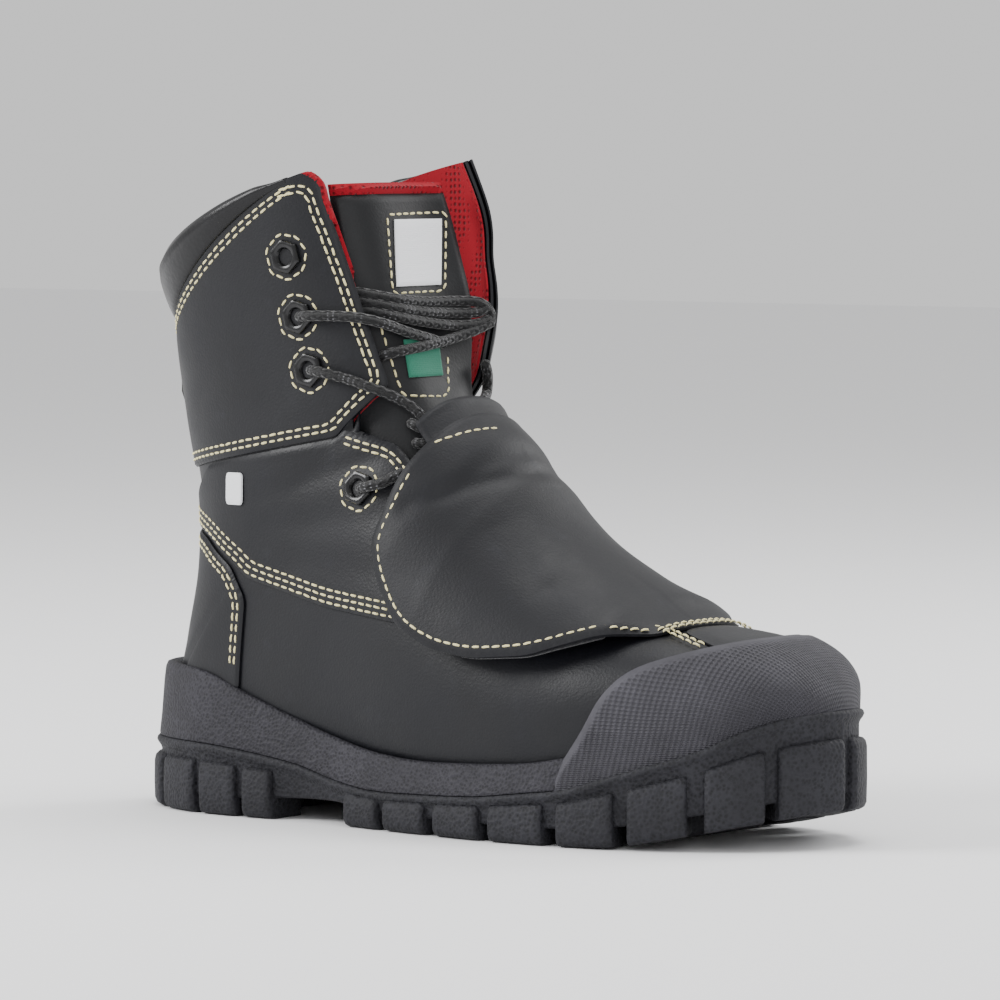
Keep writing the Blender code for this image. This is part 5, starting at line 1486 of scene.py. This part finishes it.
def make_stitching():
    """Every row of stitches, as lines of points and normals that one mesh of stitches follows."""
    sizes = bpy.context.scene.boot_sizes
    top, on_tongue, guard_top = PANEL_TOP + HAIR, TONGUE_FACE + HAIR, off_guard(HAIR)
    lines = []

    def side_seam(points, offsets, lift=top, sides=(-1, 1), radius=0.0045):
        path = even(bent(shares(points), radius), SEAM_PITCH)
        for side in sides:
            u, v = seat(path, "side", side)
            lines.extend(seam_on(u, v, lift, -side * offset) for offset in offsets)

    def seen_seam(corners, offsets, lift, radius=0.003):
        path = even(bent(picture(*corners), radius), SEAM_PITCH)
        u, v = seat(path, "picture")
        target = path
        # what stands well off the skin is seen elsewhere than the skin below it, so its place is corrected
        for _ in range(3 if lift is guard_top else 0):
            target = target + path - in_picture(seam_on(u, v, lift)[:, :3])[0]
            u, v = seat(target, "picture")
        lines.extend(seam_on(u, v, lift, offset) for offset in offsets)

    facing = (
        (0.262, 0.957), (0.290, 0.967), (0.308, 0.963), (0.3165, 0.948), (0.3205, 0.930), (0.407, 0.660),
        (0.359, 0.598), (0.350, 0.5825), (0.200, 0.5485), (0.080, 0.5235),
    )
    throat = ((0.362, 0.590), (0.426, 0.569), (0.450, 0.541), (0.470, 0.505))
    quarter = (
        (0.507, 0.306), (0.350, 0.327), (0.219, 0.362), (0.204, 0.374), (0.192, 0.386), (0.130, 0.426),
        (0.064, 0.443),
    )
    counter = ((0.060, 0.432), (0.127, 0.416), (0.186, 0.376), (0.209, 0.330), (0.2015, 0.225))
    guard = (
        (0.453, 0.525), (0.447, 0.490), (0.437, 0.420), (0.456, 0.366), (0.491, 0.307), (0.541, 0.274),
        (0.599, 0.260), (0.670, 0.262), (0.735, 0.283), (0.775, 0.299), (0.796, 0.304),
    )
    side_seam(facing, (-0.0024, -0.0048), sides=(-1,))
    side_seam(facing[7:], (-0.0020, -0.0044), sides=(1,))
    side_seam(throat, (-0.0022, -0.0046))
    side_seam(quarter, (-0.0016, -0.0040, -0.0064), radius=0.008)
    side_seam(counter, (-0.0020, -0.0044))
    side_seam(guard, (0.0030,), guard_top, radius=0.009)
    seen_seam(((432, 443), (446, 438), (464, 432), (486, 428), (500, 428)), (0.0,), guard_top)
    seen_seam(((606, 626), (630, 627), (652, 630)), (0.0,), guard_top)
    seen_seam(((655, 630), (672, 638), (690, 646), (702, 651)), (0.0, 0.0024), top)
    plate = ((395, 212), (451, 209), (452, 287), (400, 290), (395, 212))
    seen_seam(plate, (0.0,), on_tongue, 0.002)
    seen_seam(((382, 322), (404, 392), (458, 390), (457, 350)), (0.0,), on_tongue)
    front = [((share - 0.5) * LENGTH, y, 0) for share, y in ((0.797, -0.0235), (0.803, 0.0), (0.795, 0.034))]
    u, v = seat(even(smooth_path(front)[:, :2], SEAM_PITCH), "top")
    lines.extend(seam_on(u, v, guard_top, offset) for offset in (0.0, 0.0024))
    for side in (-1, 1):
        v = side * np.linspace(0.985, 0.335, 150)
        u = np.full(len(v), float(COLLAR))
        edge = surface(u, v)[0]
        slope = np.linalg.norm(edge - surface(u - 1.0, v)[0], axis=1)
        length = lengths(edge)
        drop = collar_drop(0.5 + 0.5 * length / length[-1])
        for more in COLLAR_SEAMS:
            lines.append(seam_on(np.clip(COLLAR - (drop + more) / slope, 15, COLLAR), v, top))
        for number in range(len(EYELETS)):
            p, _, forward, upward = eyelet_frame(side, number)
            corner = np.linspace(0, 2 * np.pi, 8) + 0.25
            ring = np.stack([np.cos(corner), np.sin(corner), corner * 0], 1) * EYELET_SEAM
            flat = even(ring, 0.0006)
            points = p + flat[:, :1] * forward + flat[:, 1:2] * upward
            lines.append(seam_on(*seat(points[:, [0, 2]], "side", side), top))
    thread = finish("sewing thread")
    made = stitch_mesh("seam_stitches", lines, thread, sizes.stitch_pitch, sizes.stitch, sizes.thread)
    settle(made, "woven_tag")


def make_stage():
    """A pale floor, an even white surround and four soft lamps."""
    corners = [(-6, -6, 0), (6, -6, 0), (6, 6, 0), (-6, 6, 0)]
    new_object("floor", corners, np.array([[0, 1, 2, 3]]), finish("pale floor"))
    world = bpy.data.worlds.new("studio")
    bpy.context.scene.world = world
    world.use_nodes = True
    background = world.node_tree.nodes["Background"]
    background.inputs["Color"].default_value = (1, 1, 1, 1)
    background.inputs["Strength"].default_value = 0.85
    # name, place, aimed at, size, power
    lamps = (
        ("key softbox", (-1.3, -1.3, 1.2), (0, 0, 0.12), 1.0, 40.0),
        ("front fill", (1.6, -1.6, 0.7), (0, 0, 0.10), 1.3, 15.0),
        ("top softbox", (0.1, 0.3, 1.9), (0, 0, 0.1), 1.4, 24.0),
        ("rim strip", (0.6, 1.5, 0.9), (0, 0, 0.14), 0.8, 14.0),
    )
    for name, place, target, size, power in lamps:
        light = bpy.data.lights.new(name, "AREA")
        light.shape, light.size, light.energy = "DISK", size, power
        lamp = bpy.data.objects.new(name, light)
        bpy.context.scene.collection.objects.link(lamp)
        lamp.location = place
        aim(lamp, np.array(place) - np.array(target))


def aim(thing, back):
    """Turns a camera or lamp so that its back points along a direction, with its top up."""
    back = back / np.linalg.norm(back)
    right = np.cross([0, 0, 1.0], back)
    right /= np.linalg.norm(right)
    up = np.cross(back, right)
    rows = [[right[i], up[i], back[i], thing.location[i]] for i in range(3)]
    thing.matrix_world = Matrix([*rows, [0, 0, 0, 1]])


def make_camera():
    """The photograph's camera, fitted to the boot."""
    camera = bpy.data.objects.new("camera", bpy.data.cameras.new("camera"))
    bpy.context.scene.collection.objects.link(camera)
    _, _, back = view_axes()
    camera.location = np.array(VIEW_TARGET) + back * VIEW_DISTANCE
    aim(camera, back)
    camera.data.lens = VIEW_LENS
    camera.data.sensor_width = VIEW_SENSOR
    camera.data.shift_x, camera.data.shift_y = VIEW_SHIFT
    camera.data.clip_start = 0.05
    bpy.context.scene.camera = camera


# Add-on


class BootSizes(bpy.types.PropertyGroup):
    lace: FloatProperty(name="Lace", description="Diameter", default=0.0040, unit="LENGTH", min=0.001)
    thread: FloatProperty(name="Thread", description="Thickness", default=0.00095, unit="LENGTH")
    stitch: FloatProperty(name="Stitch", description="Length of one", default=0.0034, unit="LENGTH")
    stitch_pitch: FloatProperty(name="Pitch", description="Of the stitches", default=0.0041, unit="LENGTH")


class BootColours(bpy.types.PropertyGroup):
    leather: FloatVectorProperty(name="Leather", subtype="COLOR", default=linear("#0b0c12"))
    lining: FloatVectorProperty(name="Knitted lining", subtype="COLOR", default=linear("#8e0a1c"))
    thread: FloatVectorProperty(name="Sewing thread", subtype="COLOR", default=linear("#e2d8a4"))
    sole: FloatVectorProperty(name="Midsole", subtype="COLOR", default=linear("#222127"))


class BOOT_OT_upper(bpy.types.Operator):
    """Leather shell of the boot and its red mesh lining"""

    bl_idname = "boot.upper"
    bl_label = "Upper and lining"

    def execute(self, context):
        make_upper()
        return {"FINISHED"}


class BOOT_OT_panels(bpy.types.Operator):
    """Leather panels sewn on the upper"""

    bl_idname = "boot.panels"
    bl_label = "Panels"

    def execute(self, context):
        make_panels()
        return {"FINISHED"}


class BOOT_OT_guard(bpy.types.Operator):
    """Metatarsal flap with its felt and its neck"""

    bl_idname = "boot.guard"
    bl_label = "Metatarsal guard"

    def execute(self, context):
        make_guard()
        return {"FINISHED"}


class BOOT_OT_tongue(bpy.types.Operator):
    """Tongue"""

    bl_idname = "boot.tongue"
    bl_label = "Tongue"

    def execute(self, context):
        make_tongue()
        return {"FINISHED"}


class BOOT_OT_sole(bpy.types.Operator):
    """Midsole, outsole, tread, scuff cap and footbed"""

    bl_idname = "boot.sole"
    bl_label = "Sole"

    def execute(self, context):
        make_sole()
        make_tread()
        make_bumper()
        make_insole()
        return {"FINISHED"}


class BOOT_OT_collar(bpy.types.Operator):
    """Padded roll round the collar"""

    bl_idname = "boot.collar"
    bl_label = "Collar roll"

    def execute(self, context):
        make_collar()
        return {"FINISHED"}


class BOOT_OT_eyelets(bpy.types.Operator):
    """Hexagonal eyelets"""

    bl_idname = "boot.eyelets"
    bl_label = "Eyelets"

    def execute(self, context):
        make_eyelets()
        return {"FINISHED"}


class BOOT_OT_lace(bpy.types.Operator):
    """Braided lace"""

    bl_idname = "boot.lace"
    bl_label = "Lace"

    def execute(self, context):
        make_lace()
        return {"FINISHED"}


class BOOT_OT_tags(bpy.types.Operator):
    """Side tag and the tongue's labels"""

    bl_idname = "boot.tags"
    bl_label = "Tags"

    def execute(self, context):
        make_tags()
        return {"FINISHED"}


class BOOT_OT_stitching(bpy.types.Operator):
    """Every visible stitch"""

    bl_idname = "boot.stitching"
    bl_label = "Stitching"

    def execute(self, context):
        make_stitching()
        return {"FINISHED"}


class BOOT_OT_stage(bpy.types.Operator):
    """Floor, lamps and camera"""

    bl_idname = "boot.stage"
    bl_label = "Stage"

    def execute(self, context):
        make_camera()
        make_stage()
        return {"FINISHED"}


OPERATORS = (
    BOOT_OT_stage, BOOT_OT_upper, BOOT_OT_panels, BOOT_OT_guard, BOOT_OT_tongue, BOOT_OT_sole,
    BOOT_OT_collar, BOOT_OT_eyelets, BOOT_OT_lace, BOOT_OT_tags, BOOT_OT_stitching,
)


class BOOT_PT_panel(bpy.types.Panel):
    bl_label = "Metatarsal guard boot"
    bl_space_type = "VIEW_3D"
    bl_region_type = "UI"
    bl_category = "Boot"

    def draw(self, context):
        for group in (context.scene.boot_sizes, context.scene.boot_colours):
            for name in type(group).__annotations__:
                self.layout.prop(group, name)
        for operator in OPERATORS:
            self.layout.operator(operator.bl_idname)


CLASSES = (BootSizes, BootColours, *OPERATORS, BOOT_PT_panel)


def register():
    for made in CLASSES:
        bpy.utils.register_class(made)
    bpy.types.Scene.boot_sizes = PointerProperty(type=BootSizes)
    bpy.types.Scene.boot_colours = PointerProperty(type=BootColours)


def unregister():
    del bpy.types.Scene.boot_sizes, bpy.types.Scene.boot_colours
    for made in reversed(CLASSES):
        bpy.utils.unregister_class(made)


def main():
    register()
    for operator in OPERATORS:
        group, name = operator.bl_idname.split(".")
        getattr(getattr(bpy.ops, group), name)()


if __name__ == "__main__":
    main()
